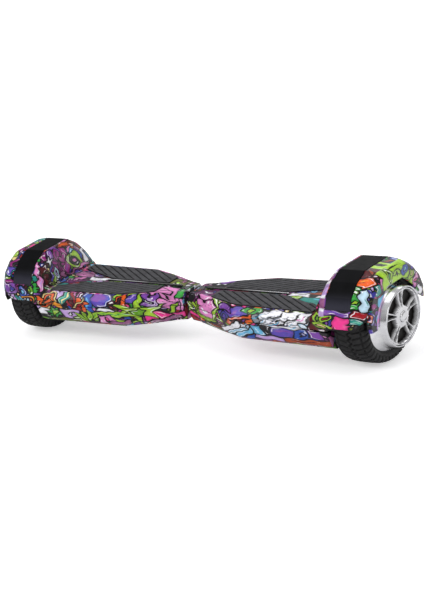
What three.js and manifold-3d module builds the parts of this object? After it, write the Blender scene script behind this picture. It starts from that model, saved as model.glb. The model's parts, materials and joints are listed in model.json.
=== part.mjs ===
// Self balancing hoverboard with 8 inch hub-motor wheels and tall faceted fenders.
// Millimetres, +Z up. X runs along the wheel axles and -Y is the front. The origin is on the
// floor under the middle of the board. The +X half is named right: it lies to the right of
// someone looking at the front. Pieces are drawn on the +X half and mirrored for the left one.
import * as THREE from "three";
import { mergeVertices } from "three/addons/utils/BufferGeometryUtils.js";
import Module from "manifold-3d";

const wasm = await Module();
wasm.setup();

// ---------------------------------------------------------------- driving dimensions
const GAP = 0.3; // clearance between fitted pieces
const TYRE_R = 100; // 8 inch wheel
const AXLE_Z = TYRE_R; // the wheels stand on the floor
const TYRE_X0 = 252, TYRE_X1 = 299; // tyre width along the axle
const RIM_FACE_X = 315; // outer face of the rim
const FENDER_X0 = 226, CROWN_X0 = 244, FENDER_X1 = 308; // fender across the wheel
const WELL_R = 104.5; // wheel well inside the fender
const WELL_X0 = 248, WELL_X1 = 303;
const BAND_X0 = 247, BAND_X1 = 283, BAND_T = 2.2; // strip over the fender crown
const BAND_END_Z = 146; // lower ends of the strip
const DECK_Z = 130; // top of the deck
const DECK_T = 12; // deck moulding depth
const SEAM_Z = 98; // split between top and bottom shells
const SEAM_TUCK = 2; // how far the shell sides draw in at the seam
const SEAM_OVERRUN = 4; // the hollows run this far past the seam
const HALF_GAP = 4; // half the gap between the two halves at the waist
const WALL = 3; // shell wall
const BOTTOM_X1 = 245; // wheel end of the bottom shell
const TWIST_Z = 88, SHAFT_R = 12; // pivot shaft between the halves
const AXLE_BAY_Y = 24; // half depth of the openings around the axle
const SHELL_SCREW_X = { inner: 84, outer: 176 };

// cutters start or end at these heights, clear of the shells
const BELOW_Z = 60, ABOVE_DECK_Z = DECK_Z + 20, ABOVE_Z = 260;

// stations of the shells along X, with the deck and belly heights
const STATIONS = [
  { x: HALF_GAP, halfDepth: 41, deck: 127, belly: 59 },
  { x: 16, halfDepth: 44, deck: 128, belly: 58 },
  { x: 58, halfDepth: 71, deck: DECK_Z, belly: 49 },
  { x: 100, halfDepth: 96, deck: DECK_Z, belly: 43 },
  { x: FENDER_X0 + 4, halfDepth: 104, deck: DECK_Z, belly: 43 },
];

// fender seen along the axle, (y, z): an upside-down U of flat facets
const FENDER = [
  [-104, 97], [-108, 112], [-107, 140], [-96, 172], [-72, 196], [-42, 212],
  [42, 212], [72, 192], [94, 166], [107, 136], [108, 104], [108, 92],
];
// opening over the rim in the outer wall of the fender, (y, z)
const ARCH = [
  [-85, 60], [-74, 97], [-60, 140], [-30, 176], [28, 174], [60, 148], [80, 118], [100, 103],
  [118, 60],
];

// ---------------------------------------------------------------- solids
function volume(g) {
  const { position } = g.attributes;
  const corners = [new THREE.Vector3(), new THREE.Vector3(), new THREE.Vector3()];
  const [a, b, c] = corners;
  let sum = 0;
  for (let k = 0; k < g.index.count; k += 3) {
    corners.forEach((corner, i) => corner.fromBufferAttribute(position, g.index.getX(k + i)));
    sum += a.dot(b.cross(c)) / 6;
  }
  return sum;
}
function flipFaces(g) {
  const old = g.index.array, flipped = [];
  for (let k = 0; k < old.length; k += 3) flipped.push(old[k], old[k + 2], old[k + 1]);
  g.setIndex(flipped);
}
// three.js geometry made watertight, facing outward, and handed to manifold
function solid(source) {
  const g = mergeVertices(source.deleteAttribute("normal").deleteAttribute("uv"), 1e-4);
  const keep = [];
  for (let k = 0; k < g.index.count; k += 3) {
    const [a, b, c] = [0, 1, 2].map((i) => g.index.getX(k + i));
    if (a !== b && b !== c && a !== c) keep.push(a, b, c);
  }
  g.setIndex(keep);
  if (volume(g) < 0) flipFaces(g);
  return new wasm.Manifold(
    new wasm.Mesh({
      numProp: 3,
      vertProperties: new Float32Array(g.attributes.position.array),
      triVerts: new Uint32Array(g.index.array),
    })
  );
}
function indexedGeometry(positions, index) {
  const g = new THREE.BufferGeometry();
  g.setAttribute("position", new THREE.Float32BufferAttribute(positions, 3));
  g.setIndex(index);
  return g;
}
const cut = (body, ...tools) => tools.reduce((rest, tool) => rest.subtract(tool), body);
const join = (...parts) => parts.reduce((body, part) => body.add(part));

const box = (x0, x1, y0, y1, z0, z1) =>
  solid(
    new THREE.BoxGeometry(x1 - x0, y1 - y0, z1 - z0)
      .translate((x0 + x1) / 2, (y0 + y1) / 2, (z0 + z1) / 2)
  );
// box centred on y = 0
const beam = (x0, x1, halfY, z0, z1) => box(x0, x1, -halfY, halfY, z0, z1);

function extruded(outline, depth) {
  const shape = new THREE.Shape(outline.map(([a, b]) => new THREE.Vector2(a, b)));
  return new THREE.ExtrudeGeometry(shape, { depth, bevelEnabled: false });
}
// plan outline (x, y) raised from z0 to z1
const prismZ = (outline, z0, z1) => solid(extruded(outline, z1 - z0).translate(0, 0, z0));
// side outline (y, z) run from x0 to x1
function prismX(outline, x0, x1) {
  const turn = new THREE.Matrix4().set(0, 0, 1, x0, 1, 0, 0, 0, 0, 1, 0, 0, 0, 0, 0, 1);
  return solid(extruded(outline, x1 - x0).applyMatrix4(turn));
}
// profile of (x, r) points turned about a line along X at height z;
// a profile that starts and ends on the line is left open there
function turned(profile, sides, z = AXLE_Z, phase = 0) {
  const points = profile.map(([x, r]) => new THREE.Vector2(r, x));
  if (profile[0][1] > 1e-6 || profile.at(-1)[1] > 1e-6) points.push(points[0].clone());
  const g = new THREE.LatheGeometry(points, sides, phase);
  return solid(g.rotateZ(-Math.PI / 2).translate(0, 0, z));
}
const tubeX = (x0, x1, boreR, r, sides, z) =>
  turned([[x0, boreR], [x0, r], [x1, r], [x1, boreR]], sides, z);
const rodX = (x0, x1, r, sides = 24, z = AXLE_Z) => tubeX(x0, x1, 0, r, sides, z);
const rodZ = (x, y, z0, z1, r, sides = 16) =>
  solid(
    new THREE.CylinderGeometry(r, r, z1 - z0, sides)
      .rotateX(Math.PI / 2)
      .translate(x, y, (z0 + z1) / 2)
  );
// rings { x, points: (y, z) } at stations along X, skinned and capped
function loft(rings) {
  const n = rings[0].points.length;
  const positions = rings.flatMap((ring) => ring.points.flatMap(([y, z]) => [ring.x, y, z]));
  const index = [];
  for (let s = 0; s + 1 < rings.length; s++)
    for (let i = 0; i < n; i++) {
      const a = s * n + i, b = s * n + ((i + 1) % n), c = a + n, d = b + n;
      index.push(a, b, c, b, d, c);
    }
  for (const [s, isStart] of [[0, true], [rings.length - 1, false]]) {
    const outline = rings[s].points.map(([y, z]) => new THREE.Vector2(y, z));
    const winding = (points) => Math.sign(THREE.ShapeUtils.area(points));
    const along = winding(outline);
    for (const triangle of THREE.ShapeUtils.triangulateShape(outline, [])) {
      const sameTurn = winding(triangle.map((i) => outline[i])) === along;
      const [a, b, c] = triangle.map((i) => s * n + i);
      if (sameTurn !== isStart) index.push(a, b, c);
      else index.push(c, b, a);
    }
  }
  return solid(indexedGeometry(positions, index));
}

// ---------------------------------------------------------------- outlines
// side outline drawn in toward the axle by a distance
const inset = (outline, distance) =>
  outline.map(([y, z]) => {
    const r = Math.hypot(y, z - AXLE_Z), scale = (r - distance) / r;
    return [y * scale, AXLE_Z + (z - AXLE_Z) * scale];
  });

// inner face of the fender, rising from the deck (0) to the crown (1)
function slopeRing(rise) {
  const footZ = DECK_Z - 2;
  return FENDER.map(([y, z]) => [
    y * (1 - 0.05 * (1 - rise)),
    z > DECK_Z ? footZ + (z - footZ) * rise : z,
  ]);
}

// halfDepth, deck or belly between two stations
function stationValue(x, key) {
  const i = STATIONS.findIndex((station) => x <= station.x);
  const from = STATIONS[i - 1], to = STATIONS[i];
  return from[key] + ((x - from.x) / (to.x - from.x)) * (to[key] - from[key]);
}
const bellyAt = (x) => stationValue(x, "belly");

// rings of the shells; with a wall they outline the hollow instead
function topRing(station, wall = 0) {
  const half = station.halfDepth - wall;
  const top = station.deck - (wall ? DECK_T : 0);
  const bevel = wall ? 3 : 11;
  const low = wall ? SEAM_Z - SEAM_OVERRUN : SEAM_Z;
  const shoulder = top - bevel - 6;
  const points = [
    [-half + SEAM_TUCK, low], [half - SEAM_TUCK, low], [half, shoulder],
    [half - bevel, top], [-half + bevel, top], [-half, shoulder],
  ];
  return { x: station.x, points };
}
function bottomRing(station, wall = 0) {
  const half = station.halfDepth - wall, belly = station.belly + wall;
  const high = SEAM_Z + (wall ? SEAM_OVERRUN : -GAP);
  const points = [
    [-half + SEAM_TUCK, high], [-half * 0.8, belly + 12], [-half * 0.62, belly],
    [half * 0.62, belly], [half * 0.8, belly + 12], [half - SEAM_TUCK, high],
  ];
  return { x: station.x, points };
}
// hollow of a shell, from a thicker wall at the waist to endX
function hollow(ringOf, endX) {
  const rings = STATIONS.map((station) => ringOf(station, WALL));
  rings[0].x += WALL + 3;
  rings.at(-1).x = endX;
  return loft(rings);
}

// ---------------------------------------------------------------- deck fittings
const MAT_T = 7, MAT_PROUD = 1.6; // mat thickness, and its height above the deck
const MAT_RECESS = 9; // depth of the mat recess
const MAT_X1 = FENDER_X0 - 5; // fender end of the mats
const MAT_MARGIN = 17; // deck left between a mat and the deck edge
const PLUNGER = { x: 120, y: 44, r: 4.4, holeR: 5 }; // peg under each mat

// plan of a mat: side -1 is the front mat, +1 the rear one; shrink draws the outline in
function matOutline(side, shrink) {
  const [, , shoulder, full] = STATIONS;
  const x1 = MAT_X1 - shrink;
  const outline = [
    [22 + shrink, 9 + shrink],
    [24 + shrink, 26 - shrink * 0.6],
    [shoulder.x, shoulder.halfDepth - MAT_MARGIN - shrink],
    [full.x, full.halfDepth - MAT_MARGIN - shrink],
    [x1, stationValue(MAT_X1, "halfDepth") - MAT_MARGIN - shrink],
    [x1, 54 + shrink],
    [148 - shrink, 9 + shrink],
  ].map(([x, y]) => [x, side * y]);
  return side < 0 ? outline : outline.reverse();
}
function mat(side) {
  const top = DECK_Z + MAT_PROUD, base = top - MAT_T;
  return join(
    prismZ(matOutline(side, 0.6), base, top),
    rodZ(PLUNGER.x, side * PLUNGER.y, base - 6, base + 1, PLUNGER.r)
  );
}
const matSeat = (side) => [
  prismZ(matOutline(side, 0), DECK_Z - MAT_RECESS, ABOVE_DECK_Z),
  rodZ(PLUNGER.x, side * PLUNGER.y, DECK_Z - 30, DECK_Z + 5, PLUNGER.holeR),
];

// strip along the middle of the deck, pointed at the wheel end
const stripOutline = (x0, x1, tipX, halfY) =>
  [[x0, -halfY], [x1, -halfY], [tipX, 0], [x1, halfY], [x0, halfY]];
const trimGroove = () => prismZ(stripOutline(20, 150, 154, 3.4), DECK_Z - 4.5, ABOVE_DECK_Z);
const seamTrim = () =>
  prismZ(stripOutline(20.5, 149.5, 152.8, 3), DECK_Z - 4.2, DECK_Z + 2.2);

// indicator lens beside the waist
const lensOutline = (shrink) => [
  [8 + shrink, -16 + 1.6 * shrink], [16 - shrink, -5.5 + shrink * 0.2],
  [16 - shrink, 5.5 - shrink * 0.2], [8 + shrink, 16 - 1.6 * shrink],
];
const lensPocket = () => prismZ(lensOutline(0), DECK_Z - 7, ABOVE_DECK_Z);
const indicatorLens = () => prismZ(lensOutline(0.4), DECK_Z - 6.5, DECK_Z - 2);

// ---------------------------------------------------------------- rear wall fittings
const WALL_Y = 99; // rear wall at the charge port
const FITTING_Z = 108;
const PORT_X = 150, PORT_SEAT_R = 8;
const BUTTON_X = 188, BUTTON_SEAT_R = 7.2;

// rod along Y at the height of the fittings
const rearRod = (x, y0, y1, r, sides = 20) =>
  solid(new THREE.CylinderGeometry(r, r, y1 - y0, sides).translate(x, (y0 + y1) / 2, FITTING_Z));
const portSeat = () => rearRod(PORT_X, 80, 112, PORT_SEAT_R);
const buttonSeat = () => rearRod(BUTTON_X, 80, 112, BUTTON_SEAT_R);
// socket with a centre pin
function chargePort() {
  const body = rearRod(PORT_X, WALL_Y - 12, WALL_Y - 1.5, PORT_SEAT_R - GAP);
  const socket = rearRod(PORT_X, WALL_Y - 9, WALL_Y + 5, 5.6);
  return join(cut(body, socket), rearRod(PORT_X, WALL_Y - 10, WALL_Y - 5, 1.6, 10));
}
const chargePortCap = () =>
  join(
    rearRod(PORT_X, WALL_Y + 1, WALL_Y + 3.2, 9.4),
    rearRod(PORT_X, WALL_Y - 3, WALL_Y + 2, 3.4, 16)
  );
const powerButton = () => rearRod(BUTTON_X, WALL_Y - 6, WALL_Y + 4.2, 6.8);

// ---------------------------------------------------------------- shells
// opening at the waist for the pivot shaft
const waistMouth = () => rodX(0, 14, 21, 20, TWIST_Z);

const fenderBody = () =>
  loft([
    { x: FENDER_X0, points: slopeRing(0) },
    { x: FENDER_X0 + 6, points: slopeRing(0.52) },
    { x: CROWN_X0 - 6, points: slopeRing(0.88) },
    { x: CROWN_X0, points: FENDER },
    { x: 285, points: FENDER },
    { x: FENDER_X1 - 8, points: inset(FENDER, 4) },
    { x: FENDER_X1, points: inset(FENDER, 12) },
  ]);
// round well, open straight down, with the arch through the outer wall
const wheelWell = () => [
  rodX(WELL_X0, WELL_X1, WELL_R, 48),
  beam(WELL_X0, WELL_X1, WELL_R, BELOW_Z, AXLE_Z),
  prismX(ARCH, WELL_X1 - 1, FENDER_X1 + 2),
];
// bay between deck and wheel well, open below, with the axle passage
const axleBay = () => [
  beam(FENDER_X0 - 4, WELL_X0 - 4, 92, BELOW_Z, 117),
  beam(FENDER_X0 - 8, WELL_X0 + 1, AXLE_BAY_Y, BELOW_Z, 124),
];
const bandSeat = () =>
  cut(
    beam(BAND_X0 - GAP, BAND_X1 + GAP, 150, BAND_END_Z - GAP, ABOVE_Z),
    prismX(inset(FENDER, BAND_T + GAP), BAND_X0 - 2, BAND_X1 + 2)
  );
function topShell(left) {
  const shell = cut(
    join(loft(STATIONS.map((station) => topRing(station))), fenderBody()),
    hollow(topRing, FENDER_X0 - 1),
    ...wheelWell(),
    ...axleBay(),
    bandSeat(),
    waistMouth(),
    ...matSeat(-1),
    ...matSeat(1),
    trimGroove(),
    lensPocket()
  );
  // the charge port and power button sit in the left half
  return left ? cut(shell, portSeat(), buttonSeat()) : shell;
}
function bottomShell() {
  const rings = STATIONS.map((station) => bottomRing(station));
  rings.at(-1).x = BOTTOM_X1;
  const fenderEndZ = FENDER.at(-1)[1];
  return cut(
    loft(rings),
    hollow(bottomRing, BOTTOM_X1 - WALL),
    // step down where it passes under the fender
    beam(FENDER_X0 - GAP, BOTTOM_X1 + 5, 130, fenderEndZ - GAP, 130),
    // notch over the axle
    beam(FENDER_X0 - 5, BOTTOM_X1 + 5, AXLE_BAY_Y, 84, 120),
    waistMouth(),
    // screw holes and their counterbores
    ...Object.values(SHELL_SCREW_X).flatMap((x) => [
      rodZ(x, 0, 30, 70, 2.4, 8),
      rodZ(x, 0, 30, bellyAt(x) + 1.9, 4.8, 12),
    ])
  );
}
function fenderBand() {
  const x0 = BAND_X0 - 5, x1 = BAND_X1 + 5;
  const hoop = cut(prismX(FENDER, BAND_X0, BAND_X1), prismX(inset(FENDER, BAND_T), x0, x1));
  return hoop.intersect(beam(x0, x1, 115, BAND_END_Z, ABOVE_Z));
}

// ---------------------------------------------------------------- chassis and pivot
const PLATE_Z0 = 62.5, PLATE_Z1 = 68.5; // chassis floor plate
const PLATE_X1 = 196, PLATE_Y = 68; // its wheel end
const RIB_X0 = 92, RIB_T = 5, RIB_Z1 = 84; // ribs along its sides
const HOUSING_X0 = 14, HOUSING_X1 = 66, HOUSING_R = 19; // pivot tube housing
const BUSH_R = 16, BUSH_LENGTH = 12;
const SEAT_X0 = 188, SEAT_X1 = 216, SEAT_Y = 26; // axle seat
const AXLE_R = 8; // axle in its seat
const CLAMP_FLANGE_Z = AXLE_Z + 7, CLAMP_TOP_Z = AXLE_Z + 13;
const CLAMP_SCREW_X = (SEAT_X0 + SEAT_X1) / 2, CLAMP_SCREW_Y = 18;

const axleBore = () => rodX(180, 230, AXLE_R + GAP);
const clampHoles = (z0, z1) =>
  [-CLAMP_SCREW_Y, CLAMP_SCREW_Y].map((y) => rodZ(CLAMP_SCREW_X, y, z0, z1, 2.7, 8));

function chassis(left) {
  const plate = [
    [14, -24], [40, -30], [RIB_X0, -62], [PLATE_X1, -PLATE_Y],
    [PLATE_X1, PLATE_Y], [RIB_X0, 62], [40, 30], [14, 24],
  ];
  const base = PLATE_Z1 - 1; // what stands on the plate is sunk into it
  const ribY = PLATE_Y - RIB_T;
  const body = join(
    prismZ(plate, PLATE_Z0, PLATE_Z1),
    box(RIB_X0, PLATE_X1, -PLATE_Y, -ribY, base, RIB_Z1),
    box(RIB_X0, PLATE_X1, ribY, PLATE_Y, base, RIB_Z1),
    beam(HOUSING_X0, HOUSING_X1, HOUSING_R, base, TWIST_Z),
    rodX(HOUSING_X0, HOUSING_X1, HOUSING_R, 24, TWIST_Z)
  );
  // the left half holds the shaft itself, the right half holds the bushes
  const pivotBore = rodX(8, 70, (left ? SHAFT_R : BUSH_R) + GAP, 20, TWIST_Z);
  return cut(
    join(cut(body, pivotBore), beam(SEAT_X0, SEAT_X1, SEAT_Y, base, AXLE_Z)),
    axleBore(),
    ...Object.values(SHELL_SCREW_X).map((x) => rodZ(x, 0, 50, 75, 2.2, 8)),
    ...clampHoles(84, 110)
  );
}
function axleClamp() {
  const outline = [
    [-SEAT_Y, AXLE_Z + GAP], [SEAT_Y, AXLE_Z + GAP], [SEAT_Y, CLAMP_FLANGE_Z],
    [12.5, CLAMP_FLANGE_Z], [9, CLAMP_TOP_Z], [-9, CLAMP_TOP_Z],
    [-12.5, CLAMP_FLANGE_Z], [-SEAT_Y, CLAMP_FLANGE_Z],
  ];
  return cut(prismX(outline, SEAT_X0 + 1, SEAT_X1 - 1), axleBore(), ...clampHoles(90, 125));
}
const clampScrew = (y) =>
  join(
    rodZ(CLAMP_SCREW_X, y, 86, CLAMP_FLANGE_Z + 1, 2.3, 8),
    rodZ(CLAMP_SCREW_X, y, CLAMP_FLANGE_Z + GAP, CLAMP_FLANGE_Z + 4, 4.4, 8)
  );
// head in the belly, shank up into the chassis plate
function shellScrew(x) {
  const belly = bellyAt(x);
  return join(
    rodZ(x, 0, belly + 0.2, belly + 1.6, 4.2, 8),
    rodZ(x, 0, belly + 1, PLATE_Z1 - 1, 1.8, 8)
  );
}
const centreShaft = () => tubeX(-64, 64, 8.5, SHAFT_R, 20, TWIST_Z);
const pivotBush = (x0) => tubeX(x0, x0 + BUSH_LENGTH, SHAFT_R + GAP, BUSH_R, 20, TWIST_Z);

// ---------------------------------------------------------------- motor and wheel
const JOURNAL_R = 8.5, BEARING_R = 16; // axle in the bearings, and their outside
const STATOR_BORE_R = 14, STATOR_X0 = 264, STATOR_X1 = 286, STATOR_SLOTS = 9;
const MAGNET_X0 = 263, MAGNET_X1 = 288;
const BEAD_R = 75; // bead seat of the rim
const WEB_X = 304; // outer face of the hub web
const SPOKE_PAIRS = 5;
const CAP_R = 11, CAP_SEAT_X = RIM_FACE_X - 4; // hub cap and the floor of its seat

// piece drawn about x, turned in degrees and lifted onto the axle
const onAxle = (piece, angle) => piece.rotate([angle, 0, 0]).translate([0, 0, AXLE_Z]);

// stepped stator shaft with a shoulder at each bearing
const motorAxle = () =>
  turned([
    [190, 0], [190, AXLE_R], [238, AXLE_R], [238, 11], [249, 11], [249, JOURNAL_R],
    [262, JOURNAL_R], [262, STATOR_BORE_R], [288, STATOR_BORE_R], [288, JOURNAL_R],
    [303, JOURNAL_R], [303, 0],
  ], 16);
function stator() {
  const pitch = 360 / STATOR_SLOTS;
  let core = tubeX(STATOR_X0, STATOR_X1, STATOR_BORE_R + GAP, 52, 27);
  for (let i = 0; i < STATOR_SLOTS; i++) {
    const slot = beam(STATOR_X0 - 2, STATOR_X1 + 2, 3, 30, 60);
    core = cut(core, onAxle(slot, i * pitch + pitch / 2));
  }
  return core;
}
const bearing = (x0, x1) => tubeX(x0, x1, JOURNAL_R + GAP, BEARING_R, 16);
const magnetRing = () => tubeX(MAGNET_X0, MAGNET_X1, 53, 56.6, 27);
// rotor drum with the bead seats, closed on the outside by a web that holds the outer bearing
const hubShell = () =>
  turned([
    [254, 57.2], [254, 70], [256.5, BEAD_R], [260, BEAD_R], [263, 68.5], [288, 68.5],
    [292, BEAD_R], [295, BEAD_R], [299, 69], [303, 65], [RIM_FACE_X, 62.5],
    [RIM_FACE_X, 60.3], [WEB_X, 60.3], [WEB_X, 20], [302, 12], [299, 12],
    [299, BEARING_R + GAP], [290.5, BEARING_R + GAP], [290.5, 21], [297, 26], [297, 57.2],
  ], 30);
// inner side of the motor, around the inner bearing
const motorCover = () =>
  turned([
    [249.5, BEARING_R + GAP], [249.5, 54], [251.5, 56.4], [256.5, 56.4], [256.5, 50],
    [254, 40], [254, 22], [259, 20], [259, BEARING_R + GAP],
  ], 24);
// outer disc with five wide and five slim blind windows, and a seat for the cap
function hubCover() {
  const x0 = WEB_X + GAP, x1 = RIM_FACE_X - 1;
  const wide = [[-12.5, 24], [12.5, 24], [24, 53], [0, 57], [-24, 53]];
  const slim = [[-2.2, 17], [2.2, 17], [4.6, 54], [-4.6, 54]];
  const pitch = 360 / SPOKE_PAIRS;
  const pocket = (outline, angle) => onAxle(prismX(outline, x0 + 2.5, x1 + 5), angle);
  let disc = turned([
    [x0, 0], [x0, 59.3], [x1, 59.3], [x1, 56], [x1 - 1.5, 40], [x1 + 0.5, 14], [x1 + 1, 0],
  ], 24);
  for (let i = 0; i < SPOKE_PAIRS; i++)
    disc = cut(disc, pocket(wide, i * pitch + pitch / 2), pocket(slim, i * pitch));
  return cut(disc, rodX(CAP_SEAT_X, x1 + 5, CAP_R + GAP, 20));
}
function hubCap() {
  const x0 = CAP_SEAT_X + GAP, x1 = RIM_FACE_X + 2;
  return turned([[x0, 0], [x0, CAP_R], [RIM_FACE_X + 0.6, CAP_R], [x1, 7], [x1, 0]], 20);
}
function tyre() {
  const sides = 36, halfFacet = Math.PI / sides;
  const x0 = TYRE_X0, x1 = TYRE_X1, boreR = BEAD_R + GAP;
  const r = TYRE_R / Math.cos(halfFacet); // the flats of the tread touch the floor
  return turned([
    [x0, 84], [x0 + 0.5, 93], [x0 + 4, r - 2], [x0 + 10, r],
    [x1 - 10, r], [x1 - 4, r - 2], [x1 - 0.5, 93], [x1, 84],
    [x1 - 3, boreR], [291.6, boreR], [287.6, 69], [263.4, 69], [260.4, boreR], [x0 + 3, boreR],
  ], sides, AXLE_Z, halfFacet);
}

// ---------------------------------------------------------------- electronics
const gyroBoard = () =>
  join(beam(140, 178, 24, 71, 73), beam(150, 168, 10, 72.5, 77), beam(141, 147, 22, 72.5, 79));
// block with its two long top edges stepped
const batteryPack = () =>
  cut(beam(72, 136, 58, 69, 105), box(60, 140, -70, -52, 99, 120), box(60, 140, 52, 70, 99, 120));
// board with two blocks and two upright cylinders
function controlBoard() {
  const base = 73.4; // just inside the board's top face
  return join(
    beam(72, 134, 50, 72, 73.8),
    beam(76, 92, 40, base, 88),
    beam(100, 118, 16, base, 84),
    rodZ(124, -34, base, 94, 8),
    rodZ(124, -14, base, 94, 8)
  );
}

// ---------------------------------------------------------------- assembly
const FINISHES = {
  print: { color: 0x7a4fa8, roughness: 0.25, metalness: 0 },
  black: { color: 0x17171a, roughness: 0.4, metalness: 0 },
  mat: { color: 0x47474b, roughness: 0.85, metalness: 0 },
  rubber: { color: 0x1c1c1d, roughness: 0.8, metalness: 0 },
  silver: { color: 0xc9c9cb, roughness: 0.28, metalness: 0.9 },
  cast: { color: 0x9a9da0, roughness: 0.55, metalness: 0.8 },
  steel: { color: 0x8a8c90, roughness: 0.35, metalness: 1 },
  copper: { color: 0xa8622c, roughness: 0.5, metalness: 0.6 },
  lens: { color: 0xd9d9dc, roughness: 0.2, metalness: 0 },
  board: { color: 0x1f5b34, roughness: 0.6, metalness: 0 },
  pack: { color: 0x2c5f9e, roughness: 0.6, metalness: 0 },
  bronze: { color: 0xa5793f, roughness: 0.5, metalness: 0.8 },
};
const board = new THREE.Group();
board.name = "hoverboard";

function put(name, piece, finish, left = false) {
  const { vertProperties, triVerts } = piece.getMesh();
  const g = indexedGeometry(Array.from(vertProperties), Array.from(triVerts));
  if (left) {
    g.scale(-1, 1, 1);
    flipFaces(g);
  }
  const material = new THREE.MeshStandardMaterial({ ...FINISHES[finish], flatShading: true });
  const mesh = new THREE.Mesh(g, material);
  mesh.name = name;
  board.add(mesh);
}
const halfPieces = (left) => [
  ["top_shell", topShell(left), "print"],
  ["bottom_shell", bottomShell(), "print"],
  ["fender_band", fenderBand(), "black"],
  ["front_foot_mat", mat(-1), "mat"],
  ["rear_foot_mat", mat(1), "mat"],
  ["seam_trim", seamTrim(), "black"],
  ["indicator_lens", indicatorLens(), "lens"],
  ["chassis", chassis(left), "cast"],
  ["axle_clamp", axleClamp(), "cast"],
  ["clamp_screw_front", clampScrew(-CLAMP_SCREW_Y), "steel"],
  ["clamp_screw_rear", clampScrew(CLAMP_SCREW_Y), "steel"],
  ["shell_screw_inner", shellScrew(SHELL_SCREW_X.inner), "steel"],
  ["shell_screw_outer", shellScrew(SHELL_SCREW_X.outer), "steel"],
  ["motor_axle", motorAxle(), "steel"],
  ["stator", stator(), "copper"],
  ["inner_bearing", bearing(250.5, 258), "steel"],
  ["outer_bearing", bearing(291, 298), "steel"],
  ["magnet_ring", magnetRing(), "steel"],
  ["motor_cover", motorCover(), "cast"],
  ["hub_shell", hubShell(), "silver"],
  ["hub_cover", hubCover(), "silver"],
  ["hub_cap", hubCap(), "silver"],
  ["tyre", tyre(), "rubber"],
  ["gyro_board", gyroBoard(), "board"],
];
for (const [side, left] of [["right", false], ["left", true]])
  for (const [name, piece, finish] of halfPieces(left)) put(`${name}_${side}`, piece, finish, left);

put("centre_shaft", centreShaft(), "steel");
put("pivot_bush_inner", pivotBush(HOUSING_X0 + 1), "bronze");
put("pivot_bush_outer", pivotBush(HOUSING_X1 - 1 - BUSH_LENGTH), "bronze");
put("battery_pack", batteryPack(), "pack");
put("main_control_board", controlBoard(), "board", true);
put("charge_port", chargePort(), "black", true);
put("charge_port_cap", chargePortCap(), "rubber", true);
put("power_button", powerButton(), "black", true);

export default board;
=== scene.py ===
import json
import math

import bmesh
import bpy
import numpy as np
from mathutils import Matrix, Vector
from mathutils.bvhtree import BVHTree
from mathutils.kdtree import KDTree

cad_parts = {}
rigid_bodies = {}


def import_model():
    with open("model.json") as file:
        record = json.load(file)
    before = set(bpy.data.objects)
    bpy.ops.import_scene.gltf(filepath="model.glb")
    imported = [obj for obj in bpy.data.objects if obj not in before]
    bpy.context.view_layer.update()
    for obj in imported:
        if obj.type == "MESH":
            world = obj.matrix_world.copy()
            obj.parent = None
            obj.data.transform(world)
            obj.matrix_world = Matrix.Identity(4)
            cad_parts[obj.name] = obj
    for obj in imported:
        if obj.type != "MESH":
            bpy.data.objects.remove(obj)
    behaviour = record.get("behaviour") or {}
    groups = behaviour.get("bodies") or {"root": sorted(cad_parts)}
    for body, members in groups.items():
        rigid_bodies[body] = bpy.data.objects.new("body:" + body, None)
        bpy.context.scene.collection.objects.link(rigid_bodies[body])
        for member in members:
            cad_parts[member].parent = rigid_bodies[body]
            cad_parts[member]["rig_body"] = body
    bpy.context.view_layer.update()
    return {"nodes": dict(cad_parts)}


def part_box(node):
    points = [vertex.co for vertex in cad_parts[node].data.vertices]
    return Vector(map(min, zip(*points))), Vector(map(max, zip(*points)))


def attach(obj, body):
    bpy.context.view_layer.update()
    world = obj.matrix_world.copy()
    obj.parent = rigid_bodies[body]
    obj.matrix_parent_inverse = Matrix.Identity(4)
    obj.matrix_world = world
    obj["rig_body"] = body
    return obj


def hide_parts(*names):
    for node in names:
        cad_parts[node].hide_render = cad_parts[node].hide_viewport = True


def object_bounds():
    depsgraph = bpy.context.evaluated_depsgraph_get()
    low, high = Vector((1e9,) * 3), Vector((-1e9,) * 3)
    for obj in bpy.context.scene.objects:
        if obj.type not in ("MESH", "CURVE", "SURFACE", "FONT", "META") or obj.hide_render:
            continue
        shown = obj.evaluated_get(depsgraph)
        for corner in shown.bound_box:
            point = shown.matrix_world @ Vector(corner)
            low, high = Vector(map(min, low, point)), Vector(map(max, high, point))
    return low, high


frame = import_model()
NODES = frame["nodes"]
BODY = {n: o["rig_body"] for n, o in NODES.items()}
MM = 0.001
AXLE_Z = 100.0
SIDES = (("right", 1.0), ("left", -1.0))


# ------------------------------------------------------------------ mesh helpers
def cad_arrays(node):
    """Vertices in mm and triangles of a CAD node."""
    me = NODES[node].data
    v = np.zeros(len(me.vertices) * 3)
    me.vertices.foreach_get("co", v)
    me.calc_loop_triangles()
    t = np.zeros(len(me.loop_triangles) * 3, np.int32)
    me.loop_triangles.foreach_get("vertices", t)
    return v.reshape(-1, 3) / MM, t.reshape(-1, 3)


def mesh_from(name, verts, faces, side=1.0, smooth=True, sharp=None):
    """A mesh from mm vertices; side -1 mirrors it to the -X half. Faces end up pointing out."""
    v = np.asarray(verts, float).copy()
    v[:, 0] *= side
    me = bpy.data.meshes.new(name)
    me.from_pydata((v * MM).tolist(), [], [list(f) for f in faces])
    bm = bmesh.new()
    bm.from_mesh(me)
    bmesh.ops.remove_doubles(bm, verts=bm.verts, dist=2e-6)
    bmesh.ops.recalc_face_normals(bm, faces=bm.faces)
    if bm.calc_volume(signed=True) < 0:
        bmesh.ops.reverse_faces(bm, faces=bm.faces)
    bm.to_mesh(me)
    bm.free()
    if smooth:
        me.shade_smooth()
    if sharp:
        me.set_sharp_from_angle(angle=math.radians(sharp))
    return me


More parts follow.
